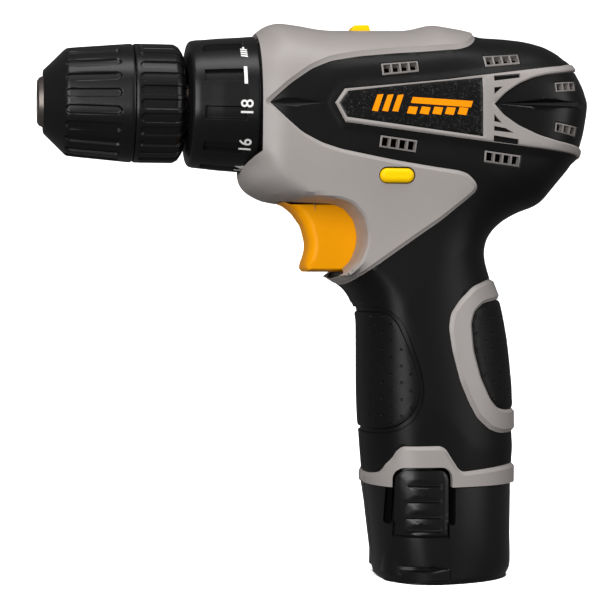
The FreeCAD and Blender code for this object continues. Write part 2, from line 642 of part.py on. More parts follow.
def motor_pieces():
    can = tube(MOTOR_X0, MOTOR_X1, MOTOR_R, MOTOR_R - CAN_T)
    can = can.fuse(tube(MOTOR_X0, MOTOR_X0 + CAN_T, MOTOR_R, 4.0)).removeSplitter()
    magnet = tube(106.0, 142.0, MOTOR_R - CAN_T, 14.4)
    gap = Part.makeCompound([box(100, 150, -30, 30, -3, 3)])
    magnets = magnet.cut(gap)
    end_cap = turned([(MOTOR_X1, SHAFT_R + RUNNING), (MOTOR_X1, MOTOR_R), (MOTOR_X1 + 1.5, MOTOR_R),
                      (MOTOR_X1 + 3.0, 15.0), (MOTOR_X1 + 3.0, 7.0), (MOTOR_X1 + 5.0, 6.0),
                      (MOTOR_X1 + 5.0, SHAFT_R + RUNNING)])
    commutator = tube(143.8, 149.4, 4.3, SHAFT_R)
    brushes = [box(144.6, 148.6, -1.6, 1.6, *sorted((s * 4.4, s * 10.0))) for s in (-1, 1)]
    holders = [box(143.8, MOTOR_X1, -2.6, 2.6, *sorted((s * 5.0, s * 12.0))) for s in (-1, 1)]
    cap = fused([end_cap] + holders)
    for brush in brushes:
        cap = cap.cut(brush)
    front = tube(MOTOR_X0 + CAN_T, MOTOR_X0 + CAN_T + 3.0, 4.5, SHAFT_R + RUNNING)
    shaft = rod(STAGE_X["input"], 163.0, SHAFT_R)
    pinion = sun_gear(STAGE_X["input"], GEARBOX_X1).cut(rod(80, 100, SHAFT_R))
    return {"motor_can": fused([can, front]), "motor_magnets": Part.makeCompound(magnets.Solids),
            "motor_end_cap": cap, "motor_brushes": Part.makeCompound(brushes), "rotor_core": rotor_core(),
            "commutator": commutator, "motor_shaft": shaft, "motor_pinion": pinion, "cooling_fan": fan()}


# ---------------------------------------------------------------- controls
def trigger():
    front = [(73.2, TRIGGER_TOP), (76.9, -33.0), (79.9, -37.4), (81.2, -42.6), (80.8, -46.4), (79.5, -49.6),
             (80.4, TRIGGER_BOTTOM)]
    runs = [front, [front[-1], (TRIGGER_REAR, TRIGGER_BOTTOM)],
            [(TRIGGER_REAR, TRIGGER_BOTTOM), (TRIGGER_REAR, TRIGGER_TOP)],
            [(TRIGGER_REAR, TRIGGER_TOP), front[0]]]
    grip = curved_prism_y(runs, -TRIGGER_HALF, TRIGGER_HALF)
    plunger = rod(TRIGGER_REAR - 1, SWITCH[0] + 6.0, ROD_R, 0.0, ROD_Z)
    return grip.fuse(plunger).removeSplitter()


def control_pieces():
    x0, x1, half, z0, z1 = SWITCH
    switch = box(x0, x1, -half, half, z0, z1)
    switch = switch.cut(rod(x0 - 1, x0 + 6.0 + TRIGGER_TRAVEL + 1.0, ROD_R + RUNNING, 0.0, ROD_Z))
    button = direction_hole(0.0).common(box(90, 130, -BUTTON_HALF, BUTTON_HALF, -30, -15))
    kx0, kx1, khalf, ktop = KNOB
    knob = prism_y([(kx0, 18.9), (kx0, ktop - 1.8), (kx0 + 0.9, ktop), (kx1 - 0.8, ktop), (kx1, ktop - 1.8),
                    (kx1, 18.9)], -khalf, khalf)
    pin_x = STAGE_X["middle"] + PLANET_LEN / 2
    arm = box(pin_x + 0.8, kx1 + 1.6, -4.0, 4.0, 18.9, 19.8)
    fork = tube(pin_x - 0.8, pin_x + 0.8, 19.9, 18.75).common(box(0, 200, -FAR, FAR, -1.6, FAR))
    pin = [Part.makeCylinder(0.9, 3.4, Vector(pin_x, s * 15.8, 0), Vector(0, s, 0)) for s in (-1, 1)]
    return {"switch_body": switch, "trigger": trigger(), "direction_button": button,
            "speed_selector": knob.fuse(arm).removeSplitter(), "shift_fork": fused([fork] + pin)}


# ---------------------------------------------------------------- battery
CELLS = [(CELL_X, -CELL_Y), (CELL_REAR_X, 0.0), (CELL_X, CELL_Y)]


def cell_cluster(offset, z0, z1):
    """Prism around the three cells, grown by an offset from their centres."""
    edges = []
    count = len(CELLS)
    normals = []
    for index in range(count):
        ax, ay = CELLS[index]
        bx, by = CELLS[(index + 1) % count]
        length = math.hypot(bx - ax, by - ay)
        normals.append(((by - ay) / length, -(bx - ax) / length))
    for index in range(count):
        cx, cy = CELLS[index]
        before, after = normals[index - 1], normals[index]
        mid = (before[0] + after[0], before[1] + after[1])
        size = math.hypot(*mid)
        arc_points = [Vector(cx + offset * n[0], cy + offset * n[1], z0)
                      for n in (before, (mid[0] / size, mid[1] / size), after)]
        edges.append(Part.Arc(*arc_points).toShape())
        nx, ny = CELLS[(index + 1) % count]
        end = Vector(nx + offset * after[0], ny + offset * after[1], z0)
        edges.append(Part.LineSegment(arc_points[2], end).toShape())
    return Part.Face(Part.Wire(edges)).extrude(Vector(0, 0, z1 - z0))


BLADES = [(116.0, -6.0), (116.0, 6.0), (125.0, 0.0)]


def blade_boxes(z0, z1, grow):
    return [box(x - 2.5 - grow, x + 2.5 + grow, y - 0.5 - grow, y + 0.5 + grow, z0, z1) for x, y in BLADES]


def latch_pieces():
    x0, x1, z0, z1 = LATCH
    skin = grip_solid(0.2).cut(grip_solid(0.2 + LATCH_T))
    pieces = {}
    for side, word in ((-1, "left"), (1, "right")):
        y0, y1 = sorted((side * 10.0, side * FAR))
        pieces["battery_latch_" + word] = skin.common(box(x0, x1, y0, y1, z0, z1))
    return pieces


def battery_pieces():
    case = cell_cluster(CELL_R + GAP + CASE_WALL, CASE_BOTTOM, CASE_TOP)
    inner = cell_cluster(CELL_R + GAP, CELL_BOTTOM - 0.2, CELL_BOTTOM + CELL_LEN + 0.4)
    case = case.cut(inner)
    for slot in blade_boxes(CASE_TOP - 5, CASE_TOP + 1, 0.3):
        case = case.cut(slot)
    base = GRIP_0.common(box(0, 200, -FAR, FAR, BASE_Z - 1, SEAM_Z - GAP))
    base = base.cut(cell_cluster(CELL_R + GAP + CASE_WALL, CASE_BOTTOM, 0.0))
    x0, x1, z0, z1 = LATCH
    room = box(x0 - LATCH_SLOT, x1 + LATCH_SLOT, -FAR, FAR, z0 - 0.6, 0.0).cut(grip_solid(LATCH_ROOM))
    base = base.cut(room)
    cells = [Part.makeCylinder(CELL_R, CELL_LEN, Vector(x, y, CELL_BOTTOM)) for x, y in CELLS]
    block = box(109.0, 131.0, -11.0, 11.0, CASE_TOP + GAP, -65.0)
    block = fused([block] + blade_boxes(CASE_TOP - 1.6, CASE_TOP + 1, 0.0))
    pieces = {"battery_case": case, "battery_base": base, "battery_cells": Part.makeCompound(cells),
              "terminal_block": block}
    pieces.update(latch_pieces())
    return pieces


# ---------------------------------------------------------------- write
def main():
    pieces = {"torque_collar": torque_collar(), "housing_screws": Part.makeCompound(screws())}
    pieces.update(housing_pieces())
    pieces.update(chuck_pieces())
    pieces.update(gear_pieces())
    pieces.update(gearbox_pieces())
    pieces.update(motor_pieces())
    pieces.update(control_pieces())
    pieces.update(battery_pieces())
    os.makedirs("parts", exist_ok=True)
    for name, shape in sorted(pieces.items()):
        print("%-22s solids %d valid %s volume %.1f" % (name, len(shape.Solids), shape.isValid(), shape.Volume))
        shape.exportStep("parts/%s.step" % name)
    print(len(pieces), "nodes")


main()
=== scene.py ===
import json
import math

import bpy
import numpy as np
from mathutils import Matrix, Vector
from mathutils.geometry import delaunay_2d_cdt


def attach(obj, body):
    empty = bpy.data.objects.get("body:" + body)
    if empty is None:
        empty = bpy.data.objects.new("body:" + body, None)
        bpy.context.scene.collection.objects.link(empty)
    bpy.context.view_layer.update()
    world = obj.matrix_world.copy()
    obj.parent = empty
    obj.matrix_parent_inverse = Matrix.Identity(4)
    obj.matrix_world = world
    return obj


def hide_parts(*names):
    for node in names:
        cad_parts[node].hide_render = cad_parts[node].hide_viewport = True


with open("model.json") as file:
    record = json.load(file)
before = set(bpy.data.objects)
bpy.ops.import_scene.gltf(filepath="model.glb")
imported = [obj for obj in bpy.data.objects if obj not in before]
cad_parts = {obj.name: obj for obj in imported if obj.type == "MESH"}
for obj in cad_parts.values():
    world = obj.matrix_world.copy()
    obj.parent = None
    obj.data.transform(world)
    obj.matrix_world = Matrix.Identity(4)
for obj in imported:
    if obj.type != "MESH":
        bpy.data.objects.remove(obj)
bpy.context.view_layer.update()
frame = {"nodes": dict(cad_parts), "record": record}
MM = 0.001
NO_LENGTH = 1e-9
NO_AREA = 1e-12
CHUNK = 1500
MITRE_LIMIT = 0.35
SMOOTH_STEP = 0.2

# Lengths below are millimetres in the row frame: +X back along the spindle, +Z up, halves part at Y = 0.


# ---------------------------------------------------------------- plane curves
def resampled(points, step):
    p = np.array(points, float)
    along = np.concatenate([[0.0], np.cumsum(np.hypot(*np.diff(p, axis=0).T))])
    count = max(int(round(along[-1] / step)), 3)
    t = np.linspace(0.0, along[-1], count + 1)
    return np.column_stack([np.interp(t, along, p[:, k]) for k in range(p.shape[1])])


def smooth(points, step=0.8, sigma=1.2):
    """Evenly spaced points along a softened polyline, whose ends stay put."""
    q = resampled(points, SMOOTH_STEP)
    reach = int(3 * sigma / SMOOTH_STEP)
    kernel = np.exp(-0.5 * (np.arange(-reach, reach + 1) * SMOOTH_STEP / sigma) ** 2)
    kernel /= kernel.sum()
    head = 2 * q[0] - q[1:reach + 1][::-1]
    tail = 2 * q[-1] - q[-reach - 1:-1][::-1]
    padded = np.vstack([head, q, tail])
    soft = np.column_stack([np.convolve(padded[:, k], kernel, "valid") for k in range(q.shape[1])])
    return resampled(soft, step)


def offset(points, distance, closed=False):
    """Points moved to the left of their direction of travel, mitred at corners."""
    p = np.asarray(points, float)
    if closed:
        before, after = p - np.roll(p, 1, 0), np.roll(p, -1, 0) - p
    else:
        step = np.diff(p, axis=0)
        before, after = np.vstack([step[:1], step]), np.vstack([step, step[-1:]])
    normals = []
    for d in (before, after):
        length = np.hypot(d[:, 0], d[:, 1])[:, None]
        normals.append(np.column_stack([-d[:, 1], d[:, 0]]) / np.maximum(length, NO_LENGTH))
    total = normals[0] + normals[1]
    size = 1 + (normals[0] * normals[1]).sum(1)
    return p + distance * total / np.maximum(size, MITRE_LIMIT)[:, None]


def inside(q, polygon):
    """Which points lie in a closed polygon."""
    p = np.asarray(polygon, float)
    low, high = p.min(0), p.max(0)
    result = np.zeros(len(q), bool)
    near = np.nonzero(((q >= low) & (q <= high)).all(1))[0]
    if len(near) == 0:
        return result
    x, z = q[near, 0][:, None], q[near, 1][:, None]
    a, b = p, np.roll(p, -1, 0)
    rise = b[:, 1] - a[:, 1]
    rise[np.abs(rise) < NO_AREA] = NO_AREA
    crosses = ((a[:, 1] > z) != (b[:, 1] > z)) & (x < a[:, 0] + (z - a[:, 1]) / rise * (b[:, 0] - a[:, 0]))
    result[near] = crosses.sum(1) % 2 == 1
    return result


def segment_gaps(q, starts, ends):
    """Distance from each point to each segment."""
    step = ends - starts
    size = np.maximum((step ** 2).sum(1), NO_AREA)
    gap = q[:, None, :] - starts[None]
    t = np.clip((gap * step).sum(2) / size, 0, 1)
    return np.sqrt(((gap - t[:, :, None] * step) ** 2).sum(2))


def line_distance(q, *lines):
    """Distance from each point to the nearest of several polylines."""
    starts = np.vstack([line[:-1] for line in lines])
    ends = np.vstack([line[1:] for line in lines])
    parts = [segment_gaps(q[i:i + CHUNK], starts, ends).min(1) for i in range(0, len(q), CHUNK)]
    return np.concatenate(parts)


def unit(v, least=NO_LENGTH):
    return v / np.maximum(np.linalg.norm(v, axis=1), least)[:, None]


def eased(t):
    return t * t * (3 - 2 * t)


def ramp(distance, *table):
    """Heights read off a table of (distance, height) pairs."""
    return np.interp(distance, [d for d, _ in table], [v for _, v in table])


def ring(points):
    """A closed polyline with its first point repeated."""
    p = np.asarray(points, float)
    return np.vstack([p, p[:1]])


# ---------------------------------------------------------------- the body's outline, with how far in it rounds over
TOP = [(40, 21.4), (66, 21.4), (66.9, 22.7), (69.4, 24.3), (72.6, 25.2), (76.9, 24.8), (80.7, 24.3),
       (84.5, 23.6), (88.3, 23.3), (95.8, 23.4), (112.4, 23.8), (115, 24.2), (118.8, 25.3), (121.4, 25.8),
       (126.6, 25.1), (130.4, 24.5), (134.3, 23.7), (136.6, 22.9), (142.1, 22.5), (149.9, 21.9),
       (153.9, 21.2), (157.8, 20.2), (161.8, 18.3), (164.4, 16.5), (166.6, 13.9), (168.6, 10.8),
       (170.6, 6.8), (172.3, 1.4), (171.9, -2.7), (171.0, -8.5), (169.9, -12.5), (168.9, -16.4),
       (165.7, -20.4), (161.8, -24.4), (157.8, -28.8), (156.0, -30.4), (153.9, -31.4), (149.9, -32.8),
       (147.3, -34.1), (144.7, -35.6), (141.5, -38.4), (139.6, -41.4), (139.0, -44.9), (139.5, -48),
       (141.1, -52.4), (142.6, -56.2), (144.1, -60), (145.2, -64.8), (146.4, -71.4), (147.3, -79),
       (148, -86.5), (148.3, -94.1), (148.4, -104), (148.3, -116.5), (147.4, -132), (147.1, -141.6),
       (146.4, -144.6), (144.6, -146.2), (144.0, -175)]
CHIN = [(61.4, -19.5), (61.3, -21.4), (62, -24.3), (63.8, -26.7), (66.2, -28.2), (69.4, -29.6),
        (73.6, -30.3), (78, -30.4), (89.2, -30.7), (92.7, -32), (95.8, -35.6), (96.9, -40.3),
        (96.5, -43.8), (94.9, -47.8), (91.5, -51.2), (88.9, -52.3)]
GRIP = [(88.9, -52.6), (91.2, -54.1), (94.0, -55.9), (95.8, -57.8), (97.1, -60), (98.1, -62.8),
        (98.7, -66.2), (98.8, -86.2), (99, -93.6), (99.6, -104.9), (100.2, -116.7), (101.5, -123.6),
        (102.8, -132.9), (104.0, -141.6), (104.5, -144.9), (105.3, -146.2), (105.9, -147.5), (106.4, -175)]
BODY_POWER = 2.2
HALF_WIDTH = [(-180, 23.0), (-146, 23.4), (-132, 23.7), (-104, 23.9), (-84, 23.3), (-66, 22.5), (-57, 21.9),
              (-50, 21.6), (-40, 21.5), (-30, 22.0), (-20, 22.9), (-10, 23.7), (0, 24.0), (40, 24.0)]
HEAD_X = 66.0
SEAM_Z = -116.5
BASE_Z = -146.0
CHAIN_STEP = 0.5
top_line = smooth(TOP, CHAIN_STEP, 1.1)
chin_line = smooth(CHIN, CHAIN_STEP, 0.8)
grip_line = smooth(GRIP, CHAIN_STEP, 0.8)


# how far in from the outline the side rounds over: by x over the head, by height down the rear and the grip
HEAD_DEPTH = [(110, 23.5), (150, 22.0), (172, 19.0)]
REAR_DEPTH = [(-104, 33.0), (-60, 31.0), (-44, 24.0), (-30, 17.0), (-12, 19.0)]
REAR_FROM, REAR_SPAN = -2.0, 12.0
CHIN_DEPTH = [(62, 12.0), (70, 8.0), (78, 3.2), (88, 1.5)]
CHIN_TURN_Z, CHIN_TURN_RATE = -31, 0.4
GRIP_DEPTH = [(-70, 15.0), (-60, 12.0), (-52, 6.0)]


def top_depth(p):
    rear = np.clip((REAR_FROM - p[:, 1]) / REAR_SPAN, 0, 1)
    return ramp(p[:, 0], *HEAD_DEPTH) * (1 - rear) + ramp(p[:, 1], *REAR_DEPTH) * rear


def chin_depth(p):
    return ramp(p[:, 0] - CHIN_TURN_RATE * np.maximum(CHIN_TURN_Z - p[:, 1], 0), *CHIN_DEPTH)


def grip_depth(p):
    return ramp(p[:, 1], *GRIP_DEPTH)


CHAINS = [(top_line, top_depth), (chin_line, chin_depth), (grip_line, grip_depth)]
chain_points = np.vstack([0.5 * (c[:-1] + c[1:]) for c, _ in CHAINS])
chain_starts = np.vstack([c[:-1] for c, _ in CHAINS])
chain_ends = np.vstack([c[1:] for c, _ in CHAINS])
chain_length = np.hypot(*(chain_ends - chain_starts).T)
chain_depth = np.concatenate([depth(0.5 * (c[:-1] + c[1:])) for c, depth in CHAINS])
FALL = 5
FALL_UNIT = 4.0 / 3.0
NEAREST = 0.3
MIX_FROM, MIX_SPAN = 1.0, 1.8


def share(q):
    """0 on the outline, 1 where the side has levelled out; soft where several edges are near."""
    parts = []
    for i in range(0, len(q), CHUNK):
        c = q[i:i + CHUNK]
        near = segment_gaps(c, chain_starts, chain_ends)
        index = near.argmin(1)
        close = near[np.arange(len(c)), index]
        exact = close / chain_depth[index]
        far = np.sqrt(((c[:, None, :] - chain_points[None]) ** 2).sum(2))
        total = ((chain_depth / np.maximum(far, NEAREST)) ** FALL * chain_length / chain_depth).sum(1)
        soft = (total / FALL_UNIT) ** (-1.0 / (FALL - 1))
        mix = eased(np.clip((close - MIX_FROM) / MIX_SPAN, 0, 1))
        parts.append(exact * (1 - mix) + soft * mix)
    return np.concatenate(parts)


width_table = smooth(HALF_WIDTH, 0.5, 4.0)


FRONT_LEN, FRONT_SLIM = 8.0, 2.4
FRONT_LOW_Z, FRONT_FADE = -24.0, 10.0
FOOT_ROUND_Z, FOOT_ROUND, FOOT_SLIM = -144.6, 1.6, 1.0


def half_width(q):
    w = np.interp(q[:, 1], width_table[:, 0], width_table[:, 1])
    t = np.clip((q[:, 0] - HEAD_X) / FRONT_LEN, 0, 1)
    front = FRONT_SLIM * (1 - t) ** 2 * np.clip((q[:, 1] - FRONT_LOW_Z) / FRONT_FADE, 0, 1)
    foot = np.clip((FOOT_ROUND_Z - q[:, 1]) / FOOT_ROUND, 0, 1)
    return w - front - FOOT_SLIM * (1 - np.sqrt(1 - foot ** 2))


def side_y(q):
    s = np.clip(share(q), 0, 1)
    return half_width(q) * (1 - (1 - s) ** BODY_POWER) ** (1 / BODY_POWER)


def edge_inset(p, depth, y):
    """How far in from the outline the side reaches a given y."""
    w = half_width(p)
    rest = (1 - np.clip(y / w, 0, 0.999) ** BODY_POWER) ** (1 / BODY_POWER)
    return (1 - rest) * depth


# ---------------------------------------------------------------- lines on the side, as (x, z)
CREASE_Z = -1.2
ARROW_TIP = (67.6, CREASE_Z)
swoosh_up = smooth([ARROW_TIP, (70.4, 1.4), (74.1, 4.6), (80.6, 9.3), (86.7, 12.1), (95.6, 13.9), (107.6, 15.3),
                    (118.7, 16.1), (126.8, 16.9), (130.4, 18.2), (133.2, 20.6), (134.6, 23.0),
                    (135.4, 27), (136, 30)], sigma=1.0)
swoosh_low = smooth([ARROW_TIP, (71.8, -5.1), (77.7, -10.1), (83.6, -13.1), (89.4, -14.9), (98.2, -16.6),
                     (106.9, -18.2), (118.1, -19.9), (125.6, -20.9), (128.4, -21.7), (130.6, -23.8),
                     (131.9, -25.6), (131.2, -27.4), (128.8, -29.5), (120.7, -35.8), (113.5, -40.7),
                     (99.8, -50.2), (94.0, -54.6), (90.6, -57.6), (86, -62)], sigma=0.9)
band_up = smooth([(92, -113.6), (100, -113.4), (102.3, -112.3), (103.6, -110.6), (106.1, -105.6),
                  (107.8, -104.1), (119.8, -104.0), (121.6, -105.0), (125.3, -110.8), (127.0, -112.0),
                  (145.3, -110.6), (156, -110.2)], sigma=0.5)
frame_line = [(87.4, -1.2), (90.3, 3.1), (122.1, 6.6), (133.8, 8.4), (158.9, 12.2), (166.0, 14.0), (186, 18.6),
              (186, -20.0), (165.1, -15.4), (133.5, -12.0), (90.6, -6.9)]
badge_line = [(88.6, -1.3), (91.4, 2.4), (106.7, 4.3), (132.7, 7.3), (132.9, -10.6), (91.0, -5.4)]
tail_line = np.vstack([
    smooth([(136.3, -0.7), (139.6, 2.6), (144, 5.7), (148.9, 7.9), (153.8, 9.2), (159, 10.0), (165, 11.2),
            (190, 17.0)], sigma=0.8),
    smooth([(190, -18.0), (168, -13.4), (164.7, -12.7), (157.1, -11.6), (150.4, -9.9), (144, -7.1),
            (139.3, -4), (136.3, -0.7)], sigma=0.8)[:-1]])
ring_out = smooth([(165, -51.6), (145, -52.4), (138.5, -53.4), (131.9, -55.7), (127, -59.8),
                   (123.8, -63.9), (123, -68.3), (124, -75.2), (126.5, -84.6), (129.2, -90.7),
                   (132.2, -95.8), (136.7, -99.5), (140.9, -100.8), (165, -100.9)], sigma=0.9)
ring_in = smooth([(165, -58.6), (147, -59.2), (141.5, -59.6), (135.3, -60.8), (131.8, -63.5),
                  (130.6, -67.2), (131.2, -75.3), (133.5, -83.5), (136.8, -90.1), (139.4, -93),
                  (142.7, -93.8), (165, -93.4)], sigma=0.9)
pad_line = smooth([(82, -63.4), (96, -63.5), (102.3, -63.7), (104.9, -64.9), (106.9, -67.1),
                   (109.1, -71.9), (111.4, -77.6), (113, -83.2), (113.5, -87.2), (112.9, -91.2),
                   (110.5, -95.2), (106.7, -98), (102.7, -99.2), (96, -99.8), (82, -100)], sigma=0.7)
channel_line = smooth([(82, -62.0), (96, -62.1), (102.6, -62.3), (105.7, -63.7), (108.1, -66.4),
                       (110.4, -71.3), (112.7, -77.2), (114.4, -83.0), (114.9, -87.3),
                       (114.2, -91.9), (111.5, -96.3), (107.2, -99.4), (102.9, -100.6),
                       (96, -101.2), (82, -101.4)], sigma=0.7)
BUTTON = (106.5, -22.55, 2.55, 3.05)
LATCH = (106.5, 122.3, -131.4, -111.4)
LATCH_CORNER = 3.0
ARCH = (105.7, 123.4, -110.4)
ARCH_CORNER = 3.4
SLOT_X = (104.1, 124.4)
SLOT_Z = -128.0
VENTS = [((101.8, 11.3), (113.1, 12.4), (113.2, 9.0), (102.0, 7.6), 4),
         ((101.4, -10.7), (112.6, -12.1), (112.1, -15.7), (101.0, -14.2), 4),
         ((134.0, 14.8), (145.5, 16.0), (145.5, 12.7), (134.3, 11.2), 4),
         ((133.7, -14.8), (145.0, -16.3), (144.7, -19.8), (133.5, -18.2), 4),
         ((156.2, 6.6), (164.0, 7.6), (164.1, 4.6), (156.4, 3.6), 3),
         ((156.2, -5.9), (164.6, -7.0), (164.1, -10.0), (156.0, -8.8), 3)]
TAIL_CREASE = [(137.0, -0.7), (180.0, 0.4)]
VENT_RIM_U, VENT_RIM_V, VENT_BAR_U = 0.045, 0.14, 0.05
FRAME_SLOTS = [[(136.3, 6.3), (144.6, 7.5), (144.6, 8.8), (136.3, 7.9)],
               [(136.2, 2.2), (138.9, 4.6), (136.2, 4.3)],
               [(136.2, -3.8), (138.6, -6.4), (136.2, -6.0)],
               [(136.2, -7.4), (139.8, -8.0), (142.4, -9.4), (136.2, -8.8)],
               [(136.1, -10.2), (144.0, -11.3), (144.0, -12.9), (136.1, -12.0)]]
SCREWS = [(70.2, -25.3), (103.0, -58.6), (133.0, -57.5), (150.5, -25.5), (167.0, 0.0), (144.8, -107.0)]
SCREW_WELL = 2.85
# badge motif: three leaning bars and a broken band, a plain pattern
MARK = [[(x, -3.4), (x + 1.8, -3.6), (x + 3.5, 1.6), (x + 1.7, 1.4)] for x in (98.5, 101.6, 104.7)]
MARK += [[(x, -4.0), (x + 2.7, -4.3), (x + 3.4, -2.1), (x + 0.7, -1.9)] for x in (109.2, 113.1, 117.0, 120.9, 124.8)]
MARK += [[(110.4, -0.9), (129.0, -1.9), (129.6, 0.0), (111.0, 0.9)]]


def capsule(cx, cz, r, half, count=14):
    points = []
    for sign in (1, -1):
        for k in range(count + 1):
            a = math.pi * (k / count - 0.5)
            points.append((cx + sign * (half + r * math.cos(a)), cz + sign * r * math.sin(a)))
    return np.array(points)


def circle(cx, cz, r, count=28):
    a = 2 * np.pi * np.arange(count) / count
    return np.column_stack([cx + r * np.cos(a), cz + r * np.sin(a)])


def arc_points(cx, cz, r, start, end, count=7):
    """Points on an arc between two angles in degrees."""
    a = np.radians(np.linspace(start, end, count))
    return np.column_stack([cx + r * np.cos(a), cz + r * np.sin(a)])


def hooded(x0, x1, low, high, r):
    """Open outline up one side, over two rounded corners and down the other side."""
    return np.vstack([[(x0, low)], arc_points(x0 + r, high - r, r, 180, 90),
                      arc_points(x1 - r, high - r, r, 90, 0), [(x1, low)]])


def quad_point(corners, u, v):
    a, b, c, d = [np.array(p, float) for p in corners[:4]]
    return (a * (1 - u) + b * u) * (1 - v) + (d * (1 - u) + c * u) * v


def vent_polygons(vent):
    """A vent's window and its slots."""
    slots = vent[4]
    window = [quad_point(vent, u, v) for u, v in ((0, 0), (1, 0), (1, 1), (0, 1))]
    found = []
    span = 1 - 2 * VENT_RIM_U + VENT_BAR_U
    for k in range(slots):
        u0 = VENT_RIM_U + k * span / slots
        u1 = VENT_RIM_U + (k + 1) * span / slots - VENT_BAR_U
        v0, v1 = VENT_RIM_V, 1 - VENT_RIM_V
        found.append(np.array([quad_point(vent, u, v) for u, v in ((u0, v0), (u1, v0), (u1, v1), (u0, v1))]))
    return np.array(window), found


# ---------------------------------------------------------------- one triangulation of the side
TRIGGER_EDGE_Y = 8.3
KNOB_EDGE_Y = 5.4
KNOB_SPAN = (95.7, 106.7)
GRIP_TOP_Z = -53.2
top_upper = top_line[(top_line[:, 1] > SEAM_Z) & (top_line[:, 0] > HEAD_X)]
knob_in = top_line[(top_line[:, 0] > KNOB_SPAN[0]) & (top_line[:, 0] < KNOB_SPAN[1]) & (top_line[:, 1] > 0)]
knob_edge = knob_in - np.array([[0, 1]]) * edge_inset(knob_in, top_depth(knob_in), KNOB_EDGE_Y)[:, None]
before = top_upper[:, 0] <= KNOB_SPAN[0]
after = ~before & ((top_upper[:, 0] >= KNOB_SPAN[1]) | (top_upper[:, 1] < 0))
CHIN_TOP_Z, POCKET_X, LIP_X, LIP_Z, LIP_END_Z = -21.0, 73.0, 90.0, -49.0, -50.6
chin_part = chin_line[chin_line[:, 1] < CHIN_TOP_Z]
chin_x, chin_z = chin_part.T
pocket = chin_part[(chin_x > POCKET_X) & ((chin_x > LIP_X) | (chin_z > LIP_Z)) & (chin_z > LIP_END_Z)]
chin_front = chin_part[chin_x <= POCKET_X]
pocket_inset = edge_inset(pocket, chin_depth(pocket), TRIGGER_EDGE_Y)
pocket_edge = pocket + (offset(pocket, 1.0) - pocket) * pocket_inset[:, None]
grip_part = grip_line[(grip_line[:, 1] > SEAM_Z) & (grip_line[:, 1] < GRIP_TOP_Z)]
chin_edge = np.array([(61.5, -20.9), (61.9, -19.6), (62.8, -18.2), (64.2, -16.8), (HEAD_X, -15.5)])
front_cut = resampled([(HEAD_X, -15.5), (HEAD_X, 21.0)], 1.0)[1:]
arch = resampled(hooded(ARCH[0], ARCH[1], SEAM_Z, ARCH[2], ARCH_CORNER), 0.6)
seam_x = (grip_part[-1, 0], top_upper[-1, 0])
domain = np.vstack([
    chin_edge, front_cut, top_upper[before], [(KNOB_SPAN[0], knob_edge[0, 1])], knob_edge,
    [(KNOB_SPAN[1], knob_edge[-1, 1])], top_upper[after], [(seam_x[1], SEAM_Z)],
    resampled([(seam_x[1], SEAM_Z), (ARCH[1], SEAM_Z)], 1.0)[1:-1], arch[::-1],
    resampled([(ARCH[0], SEAM_Z), (seam_x[0], SEAM_Z)], 1.0)[1:-1], [(seam_x[0], SEAM_Z)],
    grip_part[::-1], pocket_edge[::-1], chin_front[::-1]])
SEAM_GAP = 0.3
low_rear = top_line[(top_line[:, 1] < SEAM_Z - SEAM_GAP) & (top_line[:, 1] > BASE_Z)]
low_front = grip_line[(grip_line[:, 1] < SEAM_Z - SEAM_GAP) & (grip_line[:, 1] > BASE_Z)]
base_domain = np.vstack([
    resampled([(low_front[0, 0], SEAM_Z - SEAM_GAP), (low_rear[0, 0], SEAM_Z - SEAM_GAP)], 1.0), low_rear,
    resampled([(low_rear[-1, 0] - 0.2, BASE_Z), (low_front[-1, 0] + 0.2, BASE_Z)], 1.0), low_front[::-1]])
LATCH_GAP = 0.25
BASE_SET_BACK = (0.7, 1.3)
slot_r = ((LATCH[0] - LATCH_GAP - SLOT_X[0]) / 2, (SLOT_X[1] - LATCH[1] - LATCH_GAP) / 2)
latch_room = np.vstack([
    [(SLOT_X[0], -109.0), (SLOT_X[1], -109.0)],
    arc_points(SLOT_X[1] - slot_r[1], SLOT_Z + slot_r[1], slot_r[1], 0, -180),
    [(LATCH[1] + LATCH_GAP, LATCH[2]), (LATCH[0] - LATCH_GAP, LATCH[2])],
    arc_points(SLOT_X[0] + slot_r[0], SLOT_Z + slot_r[0], slot_r[0], 0, -180)])
latch_outline = hooded(LATCH[0], LATCH[1], LATCH[2], LATCH[3], LATCH_CORNER)
latch_panel = np.vstack([arc_points(110.2, -114.4, 1.7, 180, 90, 5), arc_points(118.6, -114.4, 1.7, 90, 0, 5),
                         [(120.3, -130.6), (108.5, -130.6)]])
RINGS = (0.03, 0.12, 0.3, 0.6, 1.1, 1.8, 2.8)


class Sketch:
    """Lines gathered for one constrained triangulation."""

    def __init__(self):
        self.points, self.edges, self.lines = [], [], []

    def add(self, line, closed=False):
        p = [tuple(v) for v in np.asarray(line, float)]
        start = len(self.points)
        self.points += p
        self.edges += [(start + i, start + i + 1) for i in range(len(p) - 1)]
        if closed:
            self.edges.append((start + len(p) - 1, start))
            p = p + p[:1]
        self.lines.append(np.array(p))

    def triangles(self, extra):
        points = [Vector(p) for p in self.points] + [Vector(p) for p in extra]
        verts, _, faces, _, _, _ = delaunay_2d_cdt(points, self.edges, [], 0, 1e-5)
        return np.array([tuple(v) for v in verts]), np.array([f for f in faces if len(f) == 3])


sketch = Sketch()
sketch.add(domain, True)
sketch.add(base_domain, True)
for chain, depth in CHAINS:
    shift = offset(chain, 1.0) - chain
    if chain is top_line:
        shift = -shift
    for distance in RINGS:
        ringed = chain + shift * distance
        keep = line_distance(ringed, *[c for c, _ in CHAINS]) > distance * 0.97
        keep &= (ringed[:, 1] > BASE_Z + 0.3) & (ringed[:, 0] > 60.0)
        runs = np.split(np.arange(len(ringed)), np.nonzero(np.diff(keep.astype(int)))[0] + 1)
        for run in runs:
            if keep[run[0]] and len(run) > 3:
                sketch.add(ringed[run])

